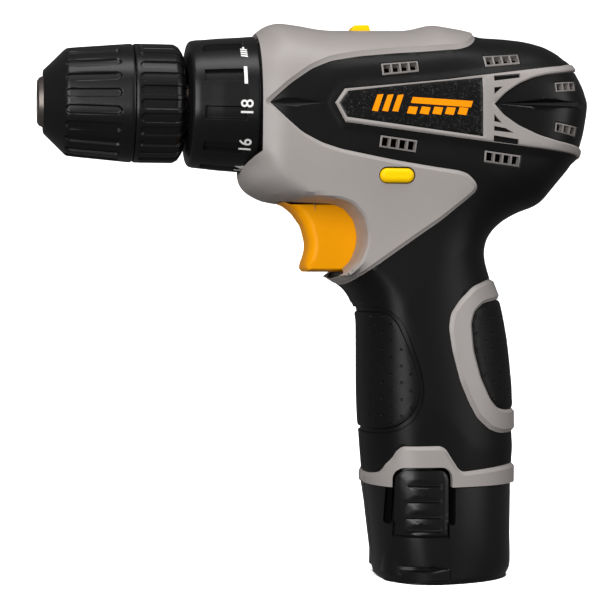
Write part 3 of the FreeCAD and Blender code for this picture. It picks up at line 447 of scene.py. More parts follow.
for line, sign in ((swoosh_up, 1), (swoosh_low, -1), (band_up, -1), (ring_out, 1)):
    sketch.add(line)
    for distance in (0.3, 1.15, -0.35):
        sketch.add(offset(line, sign * distance))


def cornered(polygon, step):
    """Closed polygon with points along its sides and its corners kept."""
    parts = []
    p = np.asarray(polygon, float)
    for a, b in zip(p, np.roll(p, -1, 0)):
        count = max(int(np.hypot(*(b - a)) / step), 1)
        parts.append(a + (b - a) * (np.arange(count) / count)[:, None])
    return np.vstack(parts)


def add_outlines(polygon, step, *distances):
    for distance in distances:
        sketch.add(cornered(offset(polygon, distance, True), step), True)


frame_edge = cornered(frame_line, 1.0)
badge_edge = cornered(badge_line, 1.0)
add_outlines(frame_line, 1.0, 2.4, 0.3, 0.0, -0.4, -0.8)
add_outlines(badge_line, 1.0, 0.0, -0.35)
sketch.add(tail_line, True)
for line, distances in ((tail_line[2:-2], (-0.35, 0.35)), (ring_in, (0.0, -0.3, -0.9, 0.35)),
                        (pad_line, (0.0, 0.3, -0.3)), (channel_line, (0.0, -0.3))):
    for distance in distances:
        sketch.add(offset(line, distance) if distance else line)
sketch.add([(ARROW_TIP[0] + 0.6, CREASE_Z), (84.4, CREASE_Z)])
sketch.add(TAIL_CREASE)
vent_windows, vent_slots = [], []
for vent in VENTS:
    window, slots = vent_polygons(vent)
    vent_windows.append(window)
    vent_slots += slots
    add_outlines(window, 1.0, 0.0, -0.45, 0.35)
    for slot in slots:
        add_outlines(slot, 0.9, 0.0)
for polygon in FRAME_SLOTS + MARK:
    add_outlines(polygon, 1.0, 0.0)
button_hole = capsule(*BUTTON)
sketch.add(button_hole, True)
sketch.add(offset(button_hole, -0.4, True), True)
for x, z in SCREWS:
    sketch.add(circle(x, z, SCREW_WELL), True)
    sketch.add(circle(x, z, SCREW_WELL + 0.35), True)
add_outlines(latch_room, 0.9, 0.0)
add_outlines(latch_outline, 0.9, 0.0, 0.4)
add_outlines(latch_panel, 0.9, 0.0, 0.25)
RIDGES = (-115.7, -120.5, -125.3, -129.4)
RIDGE_X = (110.0, 119.3)
RIDGE_SHAPE = [(-0.7, 0.0), (-0.2, 0.42), (0.15, 0.42), (0.32, 0.0)]
for z in RIDGES:
    for dz, _ in RIDGE_SHAPE:
        sketch.add([(RIDGE_X[0], z + dz), (RIDGE_X[1], z + dz)])
BASE_STEP = -141.4
STEP_WIDTH = 0.2
base_panel = np.array([(106.2, LATCH[2] - 0.02), (107.1, -144.8), (122.9, -144.8), (122.8, LATCH[2] - 0.02)])
add_outlines(base_panel, 0.9, -0.2, 0.0, 0.2)
for z in (BASE_STEP, BASE_STEP + STEP_WIDTH):
    sketch.add([(107.0, z), (122.7, z)])

DOT_ROWS = 5.0
DOT_R = 0.45
DOT_CLEAR = 0.35


def dot_centres(columns, z0, region):
    """Staggered dimples inside a pad, clear of its edge, narrower where the side turns away."""
    found = []
    for k, (x, width) in enumerate(columns):
        for m in range(8):
            found.append((x, z0 - (0.5 * (k % 2) + m) * DOT_ROWS, width))
    found = np.array(found)
    found = found[inside(found[:, :2], region) & inside(found[:, :2], domain)]
    return found[line_distance(found[:, :2], ring(region), ring(domain)) > DOT_R + DOT_CLEAR]


FRONT_COLUMNS = [(99.4, 0.3), (100.2, 0.4), (101.3, 0.6), (102.9, 0.8), (105.1, 0.95), (107.9, 1.0), (110.5, 1.0)]
REAR_COLUMNS = [(132.4, 1.0), (135.2, 1.0), (138.0, 1.0), (140.7, 0.9), (142.9, 0.75), (144.7, 0.6), (146.0, 0.4)]
dots = np.vstack([dot_centres(FRONT_COLUMNS, -62.4, pad_line), dot_centres(REAR_COLUMNS, -60.1, ring_in)])
for x, z, width in dots:
    for size, count in ((1.0, 12), (0.5, 6)):
        sketch.add(circle(0, 0, size * DOT_R, count) * [width, 1] + [x, z], True)

PITCH, ROW_PITCH = 1.1, 1.1 * 0.866
LINE_CLEAR = 0.42
columns = np.arange(60, 175, PITCH)
rows = np.arange(-146, 27, ROW_PITCH)
grid = np.array([(x + 0.5 * PITCH * (k % 2), z) for k, z in enumerate(rows) for x in columns])
grid = grid[inside(grid, domain) | inside(grid, base_domain) | inside(grid, latch_outline)]
grid = grid[line_distance(grid, *sketch.lines) > LINE_CLEAR]
flat, triangles = sketch.triangles(grid)
corner = flat[triangles]
twice_area = np.cross(corner[:, 1] - corner[:, 0], corner[:, 2] - corner[:, 0])
triangles[twice_area < 0] = triangles[twice_area < 0][:, ::-1]
triangles = triangles[np.abs(twice_area) > 1e-7]
middle = flat[triangles].mean(1)

# ---------------------------------------------------------------- which piece each triangle belongs to
black_line = np.vstack([swoosh_up, [(190, 30), (190, band_up[-1, 1])], band_up[::-1], [(80, -113.6), (80, -62)],
                        swoosh_low[::-1]])
label = np.full(len(middle), "none", dtype="<U8")
in_house = inside(middle, domain)
label[in_house] = "grey"


def mark_out(word, *polygons):
    for polygon in polygons:
        label[in_house & inside(middle, polygon)] = word


mark_out("black", black_line)
mark_out("frame", frame_edge)
mark_out("tail", tail_line)
mark_out("badge", badge_edge)
mark_out("ring", ring_out)
mark_out("rearpad", ring_in)
mark_out("mark", *MARK)
mark_out("recess", *FRAME_SLOTS)
mark_out("channel", channel_line)
mark_out("pad", pad_line)
mark_out("grille", *vent_windows)
mark_out("hole", *vent_slots, button_hole)
label[inside(middle, base_domain)] = "base"
label[inside(middle, latch_room) & (label == "base")] = "room"
corner_x = flat[triangles][:, :, 0]
beside_tab = (corner_x.max(1) < LATCH[0] - 0.5 * LATCH_GAP) | (corner_x.min(1) > LATCH[1] + 0.5 * LATCH_GAP)
label[(label == "room") & beside_tab] = "slot"
in_latch = inside(middle, latch_outline)
in_well = np.zeros(len(middle), bool)
for x, z in SCREWS:
    in_well |= inside(middle, circle(x, z, SCREW_WELL))

# ---------------------------------------------------------------- height of the side, and which way it faces
MIN_HALF = 0.35
height = np.maximum(side_y(flat), MIN_HALF)
surface = np.column_stack([flat[:, 0], -height, flat[:, 1]])


def base_shift(x, z):
    """How far the battery stands back from the grip above it, front and rear; nothing at its foot."""
    share_up = np.clip((z - BASE_Z - 2.0) / (SEAM_Z - BASE_Z - 2.0), 0, 1)
    front = BASE_SET_BACK[0] * np.clip((104.0 - x) / 3.8, 0, 1)
    rear = BASE_SET_BACK[1] * np.clip((x - 125.0) / 23.3, 0, 1)
    return (front - rear) * share_up


def vertex_normals(points, faces):
    n = np.cross(points[faces[:, 1]] - points[faces[:, 0]], points[faces[:, 2]] - points[faces[:, 0]])
    total = np.zeros_like(points)
    for k in range(3):
        np.add.at(total, faces[:, k], n)
    return unit(total, NO_AREA)


below_seam = flat[:, 1] < SEAM_Z - 0.5 * SEAM_GAP
surface[below_seam, 0] += base_shift(flat[below_seam, 0], flat[below_seam, 1])
used_faces = triangles[(label != "none") | in_latch]
facing = vertex_normals(surface, used_faces)
on_outline = height < 0.7
facing[on_outline] = unit(facing[on_outline] * np.array([1, 0, 1]))


LATCH_BLEND = 2.5
round_latch = np.minimum(flat[:, 0] - SLOT_X[0], SLOT_X[1] - flat[:, 0])
round_latch = np.clip(1 + np.minimum(round_latch, ARCH[2] + 0.4 - flat[:, 1]) / LATCH_BLEND, 0, 1)[:, None]
facing = unit(facing * (1 - round_latch) + round_latch * np.array([0, -1, 0]))


# ---------------------------------------------------------------- raised and sunken places
EDGE = 1e-3
to_swoosh = line_distance(flat, swoosh_up, swoosh_low, band_up)
to_ring = line_distance(flat, ring_out)
to_ring_in = line_distance(flat, ring_in)
to_frame = line_distance(flat, ring(frame_edge))
to_badge = line_distance(flat, ring(badge_edge))
to_tail = line_distance(flat, ring(tail_line))
to_pad = line_distance(flat, pad_line)
to_channel = line_distance(flat, channel_line)
to_window = line_distance(flat, *[ring(window) for window in vent_windows])
dot_gap = flat[:, None, :] - dots[None, :, :2]
dot_gap[:, :, 0] /= dots[:, 2]
to_dot = np.sqrt((dot_gap ** 2).sum(2).min(1))
in_frame = inside(flat, frame_edge) | (to_frame < EDGE)
in_ring = inside(flat, ring_out) | (to_ring < EDGE)
across, up = flat[:, 0], flat[:, 1]

RAISE = 0.85
CHAMFER = [(0.0, -RAISE - 0.1), (0.3, -RAISE), (1.15, 0.0)]
SMALL_CHAMFER = [(0.0, -0.55), (0.4, -0.12), (0.8, 0.0)]
grey_top = ramp(to_swoosh, *CHAMFER)
frame_top = np.minimum(ramp(to_frame, *SMALL_CHAMFER), ramp(to_badge, (0.0, -0.22), (0.35, 0.0)))
frame_top = np.minimum(frame_top, ramp(to_tail, (0.0, -0.3), (0.35, 0.0)))
ring_top = np.minimum(ramp(to_ring, *CHAMFER), ramp(to_ring_in, (0.0, -0.75), (0.3, -0.6), (0.9, 0.0)))
housing_top = np.where(in_frame, frame_top, np.where(in_ring, ring_top, grey_top))
near_edge = np.minimum(to_swoosh, to_ring)
arrow = np.clip((98.0 - across) / 12.0, 0, 1) * (np.abs(up) < 16)
black_top = ramp(near_edge, (0.0, -RAISE - 0.25), (0.35, -RAISE - 0.02), (6.0, -0.6), (16.0, -0.25))
black_top = black_top * (1 - arrow) + arrow * ramp(near_edge, (0.0, -RAISE - 0.25), (0.35, -RAISE))
slope = ramp(to_frame, (0.0, -0.75), (0.3, -0.62), (2.4, -1.05), (2.6, -1.08), (9.0, -0.6), (16.0, -0.25))
near_frame = np.clip((20.0 - to_frame) / 8.0, 0, 1)
black_top = np.minimum(black_top, slope * near_frame + black_top * (1 - near_frame))
black_top = black_top - arrow * np.where(up > CREASE_Z, 0.006, 0.02) * np.abs(up - CREASE_Z)
black_top = np.maximum(black_top, -1.7)
in_channel = inside(flat, channel_line) & (across < 120)
black_top = black_top + np.where(in_channel, ramp(to_channel, (0.0, 0.0), (0.3, -0.7), (3.0, -0.7)), 0.0)
PAD_LEVEL = -0.35
in_pad = inside(flat, pad_line) & (across < 120)
pad_share = ramp(to_pad, (0.0, 0.0), (0.3, 0.8), (1.0, 1.0))
black_top = np.where(in_pad, black_top + (PAD_LEVEL - black_top) * pad_share, black_top)
dimple = ramp(to_dot, (0.0, -0.42), (0.45 * DOT_R, -0.34), (DOT_R, 0.0))
black_top = black_top + dimple
tail_mid = -0.7 + (across - 137.0) * 0.0256
tail_fall = np.where(up < tail_mid, 0.012, 0.004) * np.abs(up - tail_mid)
tail_top = -0.75 - tail_fall + ramp(to_tail, (0, -0.35), (0.35, 0))
rear_top = -0.45 + ramp(to_ring_in, (0.0, -0.9), (0.35, -0.3), (1.2, 0.0)) + dimple
badge_top = -0.32 + ramp(to_badge, (0.0, -0.18), (0.35, 0.0))
recess_top = np.full(len(flat), -1.1)
grille_top = np.where(to_window < 0.2, -0.5, -0.32) - np.where(across > 120, 0.55, 0.2)
window_lip = ramp(to_window, (0.0, -0.3), (0.35, 0.0))
black_top = black_top + window_lip
tail_top = tail_top + window_lip
LINER_TOP = -2.1
SLOT_LEVEL = -2.0


# ---------------------------------------------------------------- building pieces
def in_scene(name, data):
    obj = bpy.data.objects.new(name, data)
    bpy.context.scene.collection.objects.link(obj)
    return obj


def placed(obj, body, nodes):
    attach(obj, body)
    if nodes:
        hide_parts(*nodes)
    return obj


def merged(solids):
    """Several solids, each as points and faces, as one list of points and one of faces."""
    points, faces, start = [], [], 0
    for p, f in solids:
        points.append(p)
        faces += [tuple(i + start for i in face) for face in f]
        start += len(p)
    return np.vstack(points), faces


def new_mesh(name, points, faces, material, smooth_angle=30.0):
    mesh = bpy.data.meshes.new(name)
    mesh.from_pydata([tuple(p) for p in np.asarray(points) * MM], [], [tuple(int(i) for i in f) for f in faces])
    mesh.validate()
    mesh.materials.append(material)
    mesh.shade_smooth()
    mesh.set_sharp_from_angle(angle=math.radians(smooth_angle))
    return in_scene(name, mesh)


LIP_X_SPAN, LIP_Z_SPAN = (85.0, 99.0), (-61.0, -49.0)
LIP_THIN, LIP_RATE, LIP_SINK = 0.25, 0.35, 0.4
NO_LIMIT = 99.0
NEAR_MIDDLE, SKIN_MIN = 0.03, 0.3
near_lip = (across > LIP_X_SPAN[0]) & (across < LIP_X_SPAN[1]) & (up > LIP_Z_SPAN[0]) & (up < LIP_Z_SPAN[1])
lip_room = np.where(near_lip, LIP_THIN + LIP_RATE * line_distance(flat, chin_line, grip_line), NO_LIMIT)


def shell(faces, top, thick, side, lip=0.3):
    """Closed solid on the side: an outer skin, an inner skin and a wall round every edge."""
    used, index = np.unique(faces, return_inverse=True)
    faces = index.reshape(-1, 3)
    base, normal = surface[used], facing[used]
    count = len(used)
    rise = np.broadcast_to(top, (len(flat),))[used][:, None]
    rise = np.maximum(rise, -LIP_SINK * lip_room[used][:, None])
    thick = np.minimum(thick, lip_room[used])[:, None]
    lip = np.minimum(lip, thick)
    outer = base + normal * rise
    inner = base + normal * (rise - thick)
    inner[:, 1] = np.minimum(inner[:, 1], -NEAR_MIDDLE)
    outer[:, 1] = np.minimum(outer[:, 1], -SKIN_MIN)
    lips = base + normal * (rise - lip)
    edge_flat = on_outline[used]
    lips[edge_flat, 1] = -NEAR_MIDDLE
    inner[edge_flat, 1] = -NEAR_MIDDLE
    directed = np.vstack([faces[:, [0, 1]], faces[:, [1, 2]], faces[:, [2, 0]]])
    codes = directed[:, 0] * count + directed[:, 1]
    back = directed[:, 1] * count + directed[:, 0]
    border = directed[~np.isin(codes, back)]
    rim = np.unique(border)
    rim_index = np.full(count, -1)
    rim_index[rim] = np.arange(len(rim))
    points = np.vstack([outer, inner, lips[rim]])
    quads = []
    for a, b in border:
        la, lb = 2 * count + rim_index[a], 2 * count + rim_index[b]
        quads.append((b, a, la, lb))
        quads.append((lb, la, a + count, b + count))
    all_faces = [tuple(f) for f in faces] + [tuple(f[::-1] + count) for f in faces] + quads
    if side > 0:
        points = points * np.array([1, -1, 1])
        all_faces = [f[::-1] for f in all_faces]
    return points, all_faces


def picked(words, side, whole=True):
    chosen = np.isin(label, words)
    if not whole:
        chosen &= ~near_lip[triangles].all(1)
    if side > 0:
        chosen &= ~in_well
    return triangles[chosen]


def side_piece(name, words, top, thick, side, slot, node=None, material=None, body="housing", whole=True):
    points, faces = shell(picked(words, side, whole), top, thick, side)
    placed(new_mesh(name, points, faces, material or looks[slot]), body, [node] if node else [])


# ---------------------------------------------------------------- materials
def shader_node(tree, kind, settings=None, **sources):
    """Shader node with its constants and what feeds it; _ in a source's name stands for a space."""
    made = tree.nodes.new("ShaderNode" + kind)
    for key, value in (settings or {}).items():
        made.inputs[key].default_value = value
    for key, source in sources.items():
        tree.links.new(source, made.inputs[key.replace("_", " ")])
    return made


def colour_ramp(tree, source, *stops):
    made = shader_node(tree, "ValToRGB", Fac=source)
    for element, (position, colour) in zip(made.color_ramp.elements, stops):
        element.position = position
        element.color = [*colour, 1]
    return made.outputs["Color"]


CLOUD_SCALE = 55.0
GRAIN_HEIGHT = 0.0002
ROUGH_RANGE = (0.05, 1.0)


def plastic(name, colour, rough, grain=2600.0, bump=0.12, vary=0.06, rough_vary=0.08, metallic=0.0, coat=0.0,
            stretch=None, shine=0.5):
    """Moulded surface: fine grain in bump and roughness, with faint cloudy colour."""
    material = bpy.data.materials.new(name)
    material.use_nodes = True
    tree = material.node_tree
    tree.nodes.clear()
    where = shader_node(tree, "TexCoord").outputs["Object"]
    if stretch:
        where = shader_node(tree, "Mapping", {"Scale": stretch}, Vector=where).outputs[0]
    fine = shader_node(tree, "TexNoise", {"Scale": grain, "Detail": 3.0}, Vector=where).outputs["Fac"]
    cloud = shader_node(tree, "TexNoise", {"Scale": CLOUD_SCALE, "Detail": 4.0}, Vector=where).outputs["Fac"]
    tone = colour_ramp(tree, cloud, (0.3, [c * (1 - vary) for c in colour]),
                       (0.7, [min(c * (1 + vary), 1.0) for c in colour]))
    spread = shader_node(tree, "MapRange", {"To Min": max(rough - rough_vary, ROUGH_RANGE[0]),
                                            "To Max": min(rough + rough_vary, ROUGH_RANGE[1])}, Value=fine)
    relief = shader_node(tree, "Bump", {"Strength": bump, "Distance": GRAIN_HEIGHT}, Height=fine)
    shader = shader_node(tree, "BsdfPrincipled", {"Metallic": metallic, "Coat Weight": coat, "Coat Roughness": 0.25,
                                                  "Specular IOR Level": shine},
                         Base_Color=tone, Roughness=spread.outputs["Result"], Normal=relief.outputs["Normal"])
    shader_node(tree, "OutputMaterial", Surface=shader.outputs[0])
    return material


def painted_glint_film(name, colour, rough):
    """Black film with a coarse grain; its lightest cells get a lighter colour, painted glints of the speckled film.
    """
    material = plastic(name, colour, rough, 1500.0, 0.3, 0.2, 0.2, coat=0.05, shine=0.25)
    tree = material.node_tree
    shader = next(n for n in tree.nodes if n.type == "BSDF_PRINCIPLED")
    where = next(n for n in tree.nodes if n.type == "TEX_COORD").outputs["Object"]
    cells = shader_node(tree, "TexVoronoi", {"Scale": 3200.0}, Vector=where)
    split = shader_node(tree, "SeparateColor", Color=cells.outputs["Color"])
    # painted glints: cells above 0.9 blend to a colour ten times lighter than the film
    glint = colour_ramp(tree, split.outputs[0], (0.9, colour), (0.95, (0.035, 0.034, 0.033)))
    tree.links.new(glint, shader.inputs["Base Color"])
    return material


GREY = (0.31, 0.284, 0.272)
looks = {
    "housing_grey": plastic("grey_plastic", GREY, 0.42, 2400.0, 0.10, 0.03, 0.06, shine=0.4),
    "overmould_black": plastic("soft_rubber", (0.0050, 0.0049, 0.0048), 0.42, 3000.0, 0.07, 0.12, 0.05, shine=0.15),
    "panel_black": plastic("panel_plastic", (0.0050, 0.0049, 0.0048), 0.34, 2600.0, 0.07, 0.12, 0.05, shine=0.2),
    # badge film with painted glints in its colour
    "badge_black": painted_glint_film("badge_film", (0.0035, 0.0035, 0.0035), 0.34),
    "chuck_black": plastic("chuck_plastic", (0.0056, 0.0055, 0.0055), 0.32, 2200.0, 0.08, 0.12, 0.06, shine=0.28),
    "battery_black": plastic("battery_plastic", (0.0056, 0.0055, 0.0054), 0.32, 2600.0, 0.08, 0.12, 0.05, shine=0.3),
    "steel": plastic("turned_steel", (0.22, 0.19, 0.175), 0.42, 700.0, 0.10, 0.08, 0.10, 1.0,
                     stretch=(9.0, 0.6, 0.6)),
    "gear_steel": plastic("sintered_steel", (0.40, 0.39, 0.38), 0.42, 3000.0, 0.25, 0.12, 0.12, 1.0),
    "bronze": plastic("sintered_bronze", (0.52, 0.33, 0.15), 0.40, 3000.0, 0.2, 0.12, 0.1, 1.0),
    "gearbox_black": plastic("filled_nylon", (0.05, 0.05, 0.055), 0.55, 2400.0, 0.2, 0.15, 0.1),
    "magnet": plastic("ferrite", (0.09, 0.09, 0.095), 0.6, 2800.0, 0.3, 0.2, 0.1),
    "copper": plastic("copper_bars", (0.62, 0.28, 0.13), 0.3, 2000.0, 0.15, 0.12, 0.1, 1.0),
    "trigger_orange": plastic("orange_plastic", (1.0, 0.38, 0.0), 0.40, 2400.0, 0.07, 0.02, 0.06, shine=0.12),
    "button_yellow": plastic("yellow_plastic", (1.0, 0.60, 0.0), 0.36, 2400.0, 0.07, 0.02, 0.05, shine=0.15),
    "inner_nylon": plastic("natural_nylon", (0.60, 0.58, 0.53), 0.5, 2600.0, 0.12, 0.05, 0.08),
    "cell_wrap": plastic("shrink_film", (0.02, 0.16, 0.22), 0.22, 1800.0, 0.1, 0.1, 0.06, coat=0.5),
}
slot_shade = plastic("slot_shade", (0.0015, 0.0015, 0.0015), 0.7, 2600.0, 0.1, 0.1, 0.05, shine=0.05)
white_paint = plastic("white_print", (0.82, 0.82, 0.80), 0.5, 3200.0, 0.1, 0.04, 0.05)
orange_paint = plastic("orange_print", (1.0, 0.30, 0.0), 0.40, 3200.0, 0.1, 0.02, 0.05, shine=0.15)
# vent grilles: housing grey darkened to 0.62, painted shade of their recess
grille_shade_paint = plastic("grille_painted_shade", tuple(0.62 * c for c in GREY), 0.45, 2400.0, 0.12, 0.05, 0.06)
slot_of = {part["node"]: part["material_slot"] for part in frame["record"]["subparts"]}
for node, obj in frame["nodes"].items():
    obj.data.materials.clear()
    obj.data.materials.append(looks[slot_of[node]])


# ---------------------------------------------------------------- shell pieces on both sides
LINED = ["grey", "frame", "ring", "black", "recess", "channel", "pad", "tail", "badge", "mark", "rearpad", "grille"]
LATCH_LEVEL = -0.45
ridge_gap = up[:, None] - np.array(RIDGES)[None]
ridge = ramp(ridge_gap, *RIDGE_SHAPE).max(1) * ((across > RIDGE_X[0] - EDGE) & (across < RIDGE_X[1] + EDGE))
to_panel = line_distance(flat, ring(latch_panel))
panel_rise = np.where(inside(flat, latch_panel), 0.14 * ramp(to_panel, (0.0, 0.0), (0.25, 1.0)), 0.0)
latch_edge = ramp(line_distance(flat, ring(latch_outline)), (0.0, -0.35), (0.4, 0.0))
latch_top = LATCH_LEVEL + ridge + panel_rise + latch_edge
for side, word in ((-1, "left"), (1, "right")):
    side_piece("housing_shell_" + word, ["grey", "frame", "ring"], housing_top, 1.7, side, "housing_grey",
               "housing_" + word)
    side_piece("housing_liner_" + word, LINED, LINER_TOP, 0.9, side, "housing_grey", whole=False)
    side_piece("overmould_" + word, ["black", "channel", "pad"], black_top, 1.3, side, "overmould_black",
               "rubber_" + word)
    side_piece("frame_insets_" + word, ["recess"], recess_top, 0.6, side, "panel_black")
    side_piece("tail_cover_" + word, ["tail"], tail_top, 1.0, side, "panel_black", "tail_panel_" + word)
    side_piece("rear_grip_pad_" + word, ["rearpad"], rear_top, 1.2, side, "overmould_black", "rear_pad_" + word)
    side_piece("badge_plate_" + word, ["badge", "mark"], badge_top, 1.2, side, "badge_black", "badge_" + word)
    side_piece("badge_motif_" + word, ["mark"], badge_top + 0.06, 0.05, side, "trigger_orange", None, orange_paint)
    # vent grilles in the darker grey, painted shade of the recess
    side_piece("vent_grilles_" + word, ["grille"], grille_top, 1.1, side, "housing_grey", None, grille_shade_paint)
    side_piece("slot_floors_" + word, ["slot"], SLOT_LEVEL, 0.8, side, "battery_black", None, slot_shade, "battery")
    points, faces = shell(triangles[in_latch], latch_top, 1.1, side)
    placed(new_mesh("latch_tab_" + word, points, faces, looks["battery_black"]), "latch_" + word,
           ["battery_latch_" + word])


# ---------------------------------------------------------------- battery base
PANEL_DROP = 0.32
to_base_panel = line_distance(flat, ring(base_panel))
in_panel = inside(flat, base_panel) & (to_base_panel > EDGE)
base_top = np.where(in_panel, -PANEL_DROP * ramp(up - BASE_STEP, (0.0, 0.0), (STEP_WIDTH, 1.0)), 0.0)
base_top = base_top - np.where((to_base_panel < EDGE) & (up < LATCH[2] - 0.5), 0.25, 0.0)
groups = []
for side in (-1, 1):
    groups.append(shell(triangles[label == "base"], base_top, 4.6, side))
    groups.append(shell(triangles[label == "room"], np.full(len(flat), -4.6), 0.7, side))


ROOM_DEPTH = 5.4


def level_plate(z, z_under, inset):
    """Flat plate across the battery at a height, following its outline."""
    first, last = (100.9, 147.8) if z > LATCH[2] else (105.6, 144.8)
    xs = np.linspace(first, last, 60)
    ys = side_y(np.column_stack([xs, np.full(60, z)])) - inset
    ys = ys - ROOM_DEPTH * (z > LATCH[2]) * ((xs > SLOT_X[0] - 0.6) & (xs < SLOT_X[1] + 0.6))
    xs = xs + base_shift(xs, z)
    ys = np.maximum(ys, 0.2)
    loop = np.vstack([np.column_stack([xs, -ys]), np.column_stack([xs[::-1], ys[::-1]])])
    n = len(loop)
    top = np.column_stack([loop, np.full(n, z)])
    low = np.column_stack([loop, np.full(n, z_under)])
    faces = [tuple(range(n)), tuple(range(2 * n - 1, n - 1, -1))]
    faces += [(i, i + n, (i + 1) % n + n, (i + 1) % n) for i in range(n)]
    return np.vstack([top, low]), faces


groups.append(level_plate(-117.0, -118.4, 0.5))
groups.append(level_plate(-144.6, BASE_Z, 0.4))
placed(new_mesh("battery_shell", *merged(groups), looks["battery_black"]), "battery", ["battery_base"])


# ---------------------------------------------------------------- turned pieces
TURNED_ANGLE = 28.0
FRONT_RIBS, REAR_RIBS, FLUTES = 21, 27, 11


def turned(name, profile, columns, relief, body, node, slot="chuck_black"):
    """Closed ring turned about the spindle axis. relief(x, arc angle, r) is the depth cut away on outward rows."""
    rows = len(profile)
    a = 2 * np.pi * np.arange(columns) / columns
    points = []
    for x, r, outward in profile:
        rr = r - (relief(np.full(columns, x), a, r) if outward else np.zeros(columns))
        points.append(np.column_stack([np.full(columns, x), -rr * np.sin(a), rr * np.cos(a)]))
    faces = []
    for i in range(rows):
        j = (i + 1) % rows
        for k in range(columns):
            m = (k + 1) % columns
            faces.append((i * columns + k, j * columns + k, j * columns + m, i * columns + m))
    placed(new_mesh(name, np.vstack(points), faces, looks[slot], TURNED_ANGLE), body, [node])


def rows_between(points, step, outward=True):
    return [(x, r, outward) for x, r in resampled(points, step)]


def step_in(value, low, high):
    return eased(np.clip((value - low) / (high - low), 0, 1))


def angle_gap(a, count, start):
    """Signed angle to the nearest of count evenly spaced directions."""
    pitch = 2 * np.pi / count
    return (a - start + pitch / 2) % pitch - pitch / 2


def front_relief(x, a, r):
    arc = angle_gap(a, FRONT_RIBS, 0.0) * r
    over = np.maximum(np.abs(x - 16.3) - 6.9, 0)
    gap = np.hypot(over, arc)
    return 0.75 * (1 - step_in(gap, 0.95, 1.45))


def rear_relief(x, a, r):
    arc = angle_gap(a, REAR_RIBS, 0.05) * r
    over = np.maximum(31.6 - x, 0)
    gap = np.hypot(over, arc)
    return 0.6 * (1 - step_in(gap, 1.25, 1.5)) * (r > 15.6)


def collar_relief(x, a, r):
    arc = np.abs(angle_gap(a, FLUTES, math.radians(102.5))) * 20.0
    wide = 1 - step_in(arc, 1.75, 2.0)
    long = step_in(x, 49.0, 49.3) * (1 - step_in(x, 61.2, 61.5))
    return 1.1 * wide * long


front_profile = rows_between([(1.75, 8.7), (1.75, 9.4)], 0.4) + rows_between(
    smooth([(1.8, 9.6), (5.2, 12.9), (8.0, 15.7), (8.8, 16.3), (12.0, 16.65), (27.9, 18.05), (28.3, 18.0),
            (28.55, 17.75)], 0.3, 0.25), 0.3)
front_profile += rows_between([(28.55, 17.5), (28.55, 16.1)], 0.5, False)[1:]
front_profile += rows_between([(28.3, 16.0), (25.5, 16.0), (24.0, 15.2), (12.4, 15.0), (3.6, 8.7)], 1.0, False)
turned("sleeve_front", front_profile, FRONT_RIBS * 26, front_relief, "chuck_sleeve", "chuck_front_sleeve")
rear_profile = rows_between([(28.85, 15.4), (28.85, 17.6)], 0.5, False)
rear_profile += rows_between(smooth([(28.9, 17.85), (29.15, 18.1), (41.0, 18.1), (42.5, 17.3), (43.7, 15.4),
                                     (44.1, 13.2), (44.25, 10.8)], 0.3, 0.3), 0.3)
rear_profile += rows_between([(43.7, 10.7), (43.6, 15.2)], 1.0, False)
rear_profile += rows_between([(43.4, 15.25), (30.0, 15.25)], 2.0, False)
turned("sleeve_rear", rear_profile, REAR_RIBS * 20, rear_relief, "chuck", "chuck_rear_sleeve")
collar_profile = rows_between([(46.4, 11.6), (44.7, 14.2)], 0.5, False)
collar_profile += rows_between(smooth([(44.65, 14.3), (45.5, 18.6), (46.1, 19.2), (47.4, 19.5), (50.8, 19.8),
                                       (54.5, 20.2), (62.0, 20.7), (65.2, 21.05), (65.6, 20.8)], 0.3, 0.25), 0.3)
collar_profile += rows_between([(65.65, 20.6), (65.65, 16.7)], 1.0, False)
collar_profile += rows_between([(65.5, 16.65), (49.5, 16.65)], 2.0, False)
collar_profile += rows_between([(49.4, 16.5), (49.4, 11.7)], 1.0, False)
turned("collar_ring", collar_profile, FLUTES * 66, collar_relief, "collar", "torque_collar")


# ---------------------------------------------------------------- collar numbers, plain dial marks
def collar_radius(x):
    return np.interp(x, [54.5, 62.0, 65.2], [20.2, 20.7, 21.05])


MARK_X = 63.1
MARK_THICK, MARK_LIFT = 0.06, 0.015
COLLAR_R = 20.9


def wrapped(points, faces, turn):
    """Flat artwork wrapped on the collar at an angle: its x runs up the near side, its y towards the chuck."""
    p = np.asarray(points, float)
    x = MARK_X - p[:, 1]
    r = collar_radius(x) + MARK_LIFT + p[:, 2]
    a = math.radians(turn) - p[:, 0] / COLLAR_R
    return np.column_stack([x, -r * np.sin(a), r * np.cos(a)]), faces


def number_mesh(text, size):
    curve = bpy.data.curves.new("number_" + text, "FONT")
    curve.body = text
    curve.size = size
    curve.align_x = "CENTER"
    curve.extrude = MARK_THICK / 2
    curve.offset = 0.06
    obj = in_scene("number_" + text, curve)
    bpy.context.view_layer.update()
    mesh = bpy.data.meshes.new_from_object(obj.evaluated_get(bpy.context.evaluated_depsgraph_get()))
    points = [tuple(v.co) for v in mesh.vertices]
    faces = [tuple(p.vertices) for p in mesh.polygons]
    bpy.data.objects.remove(obj)
    bpy.data.curves.remove(curve)
    bpy.data.meshes.remove(mesh)
    return np.array(points) + [0, 0, MARK_THICK / 2], faces


NUMBER_SIZE = 5.2
FIRST_NUMBER, NUMBER_TURN = 98, 33.6
BAR_TURN, BIT_TURN = 70, 47
art = []
for index, text in enumerate(("18", "16", "14", "12", "10", "8", "6", "4", "2")):
    art.append(wrapped(*number_mesh(text, NUMBER_SIZE), FIRST_NUMBER + NUMBER_TURN * index))


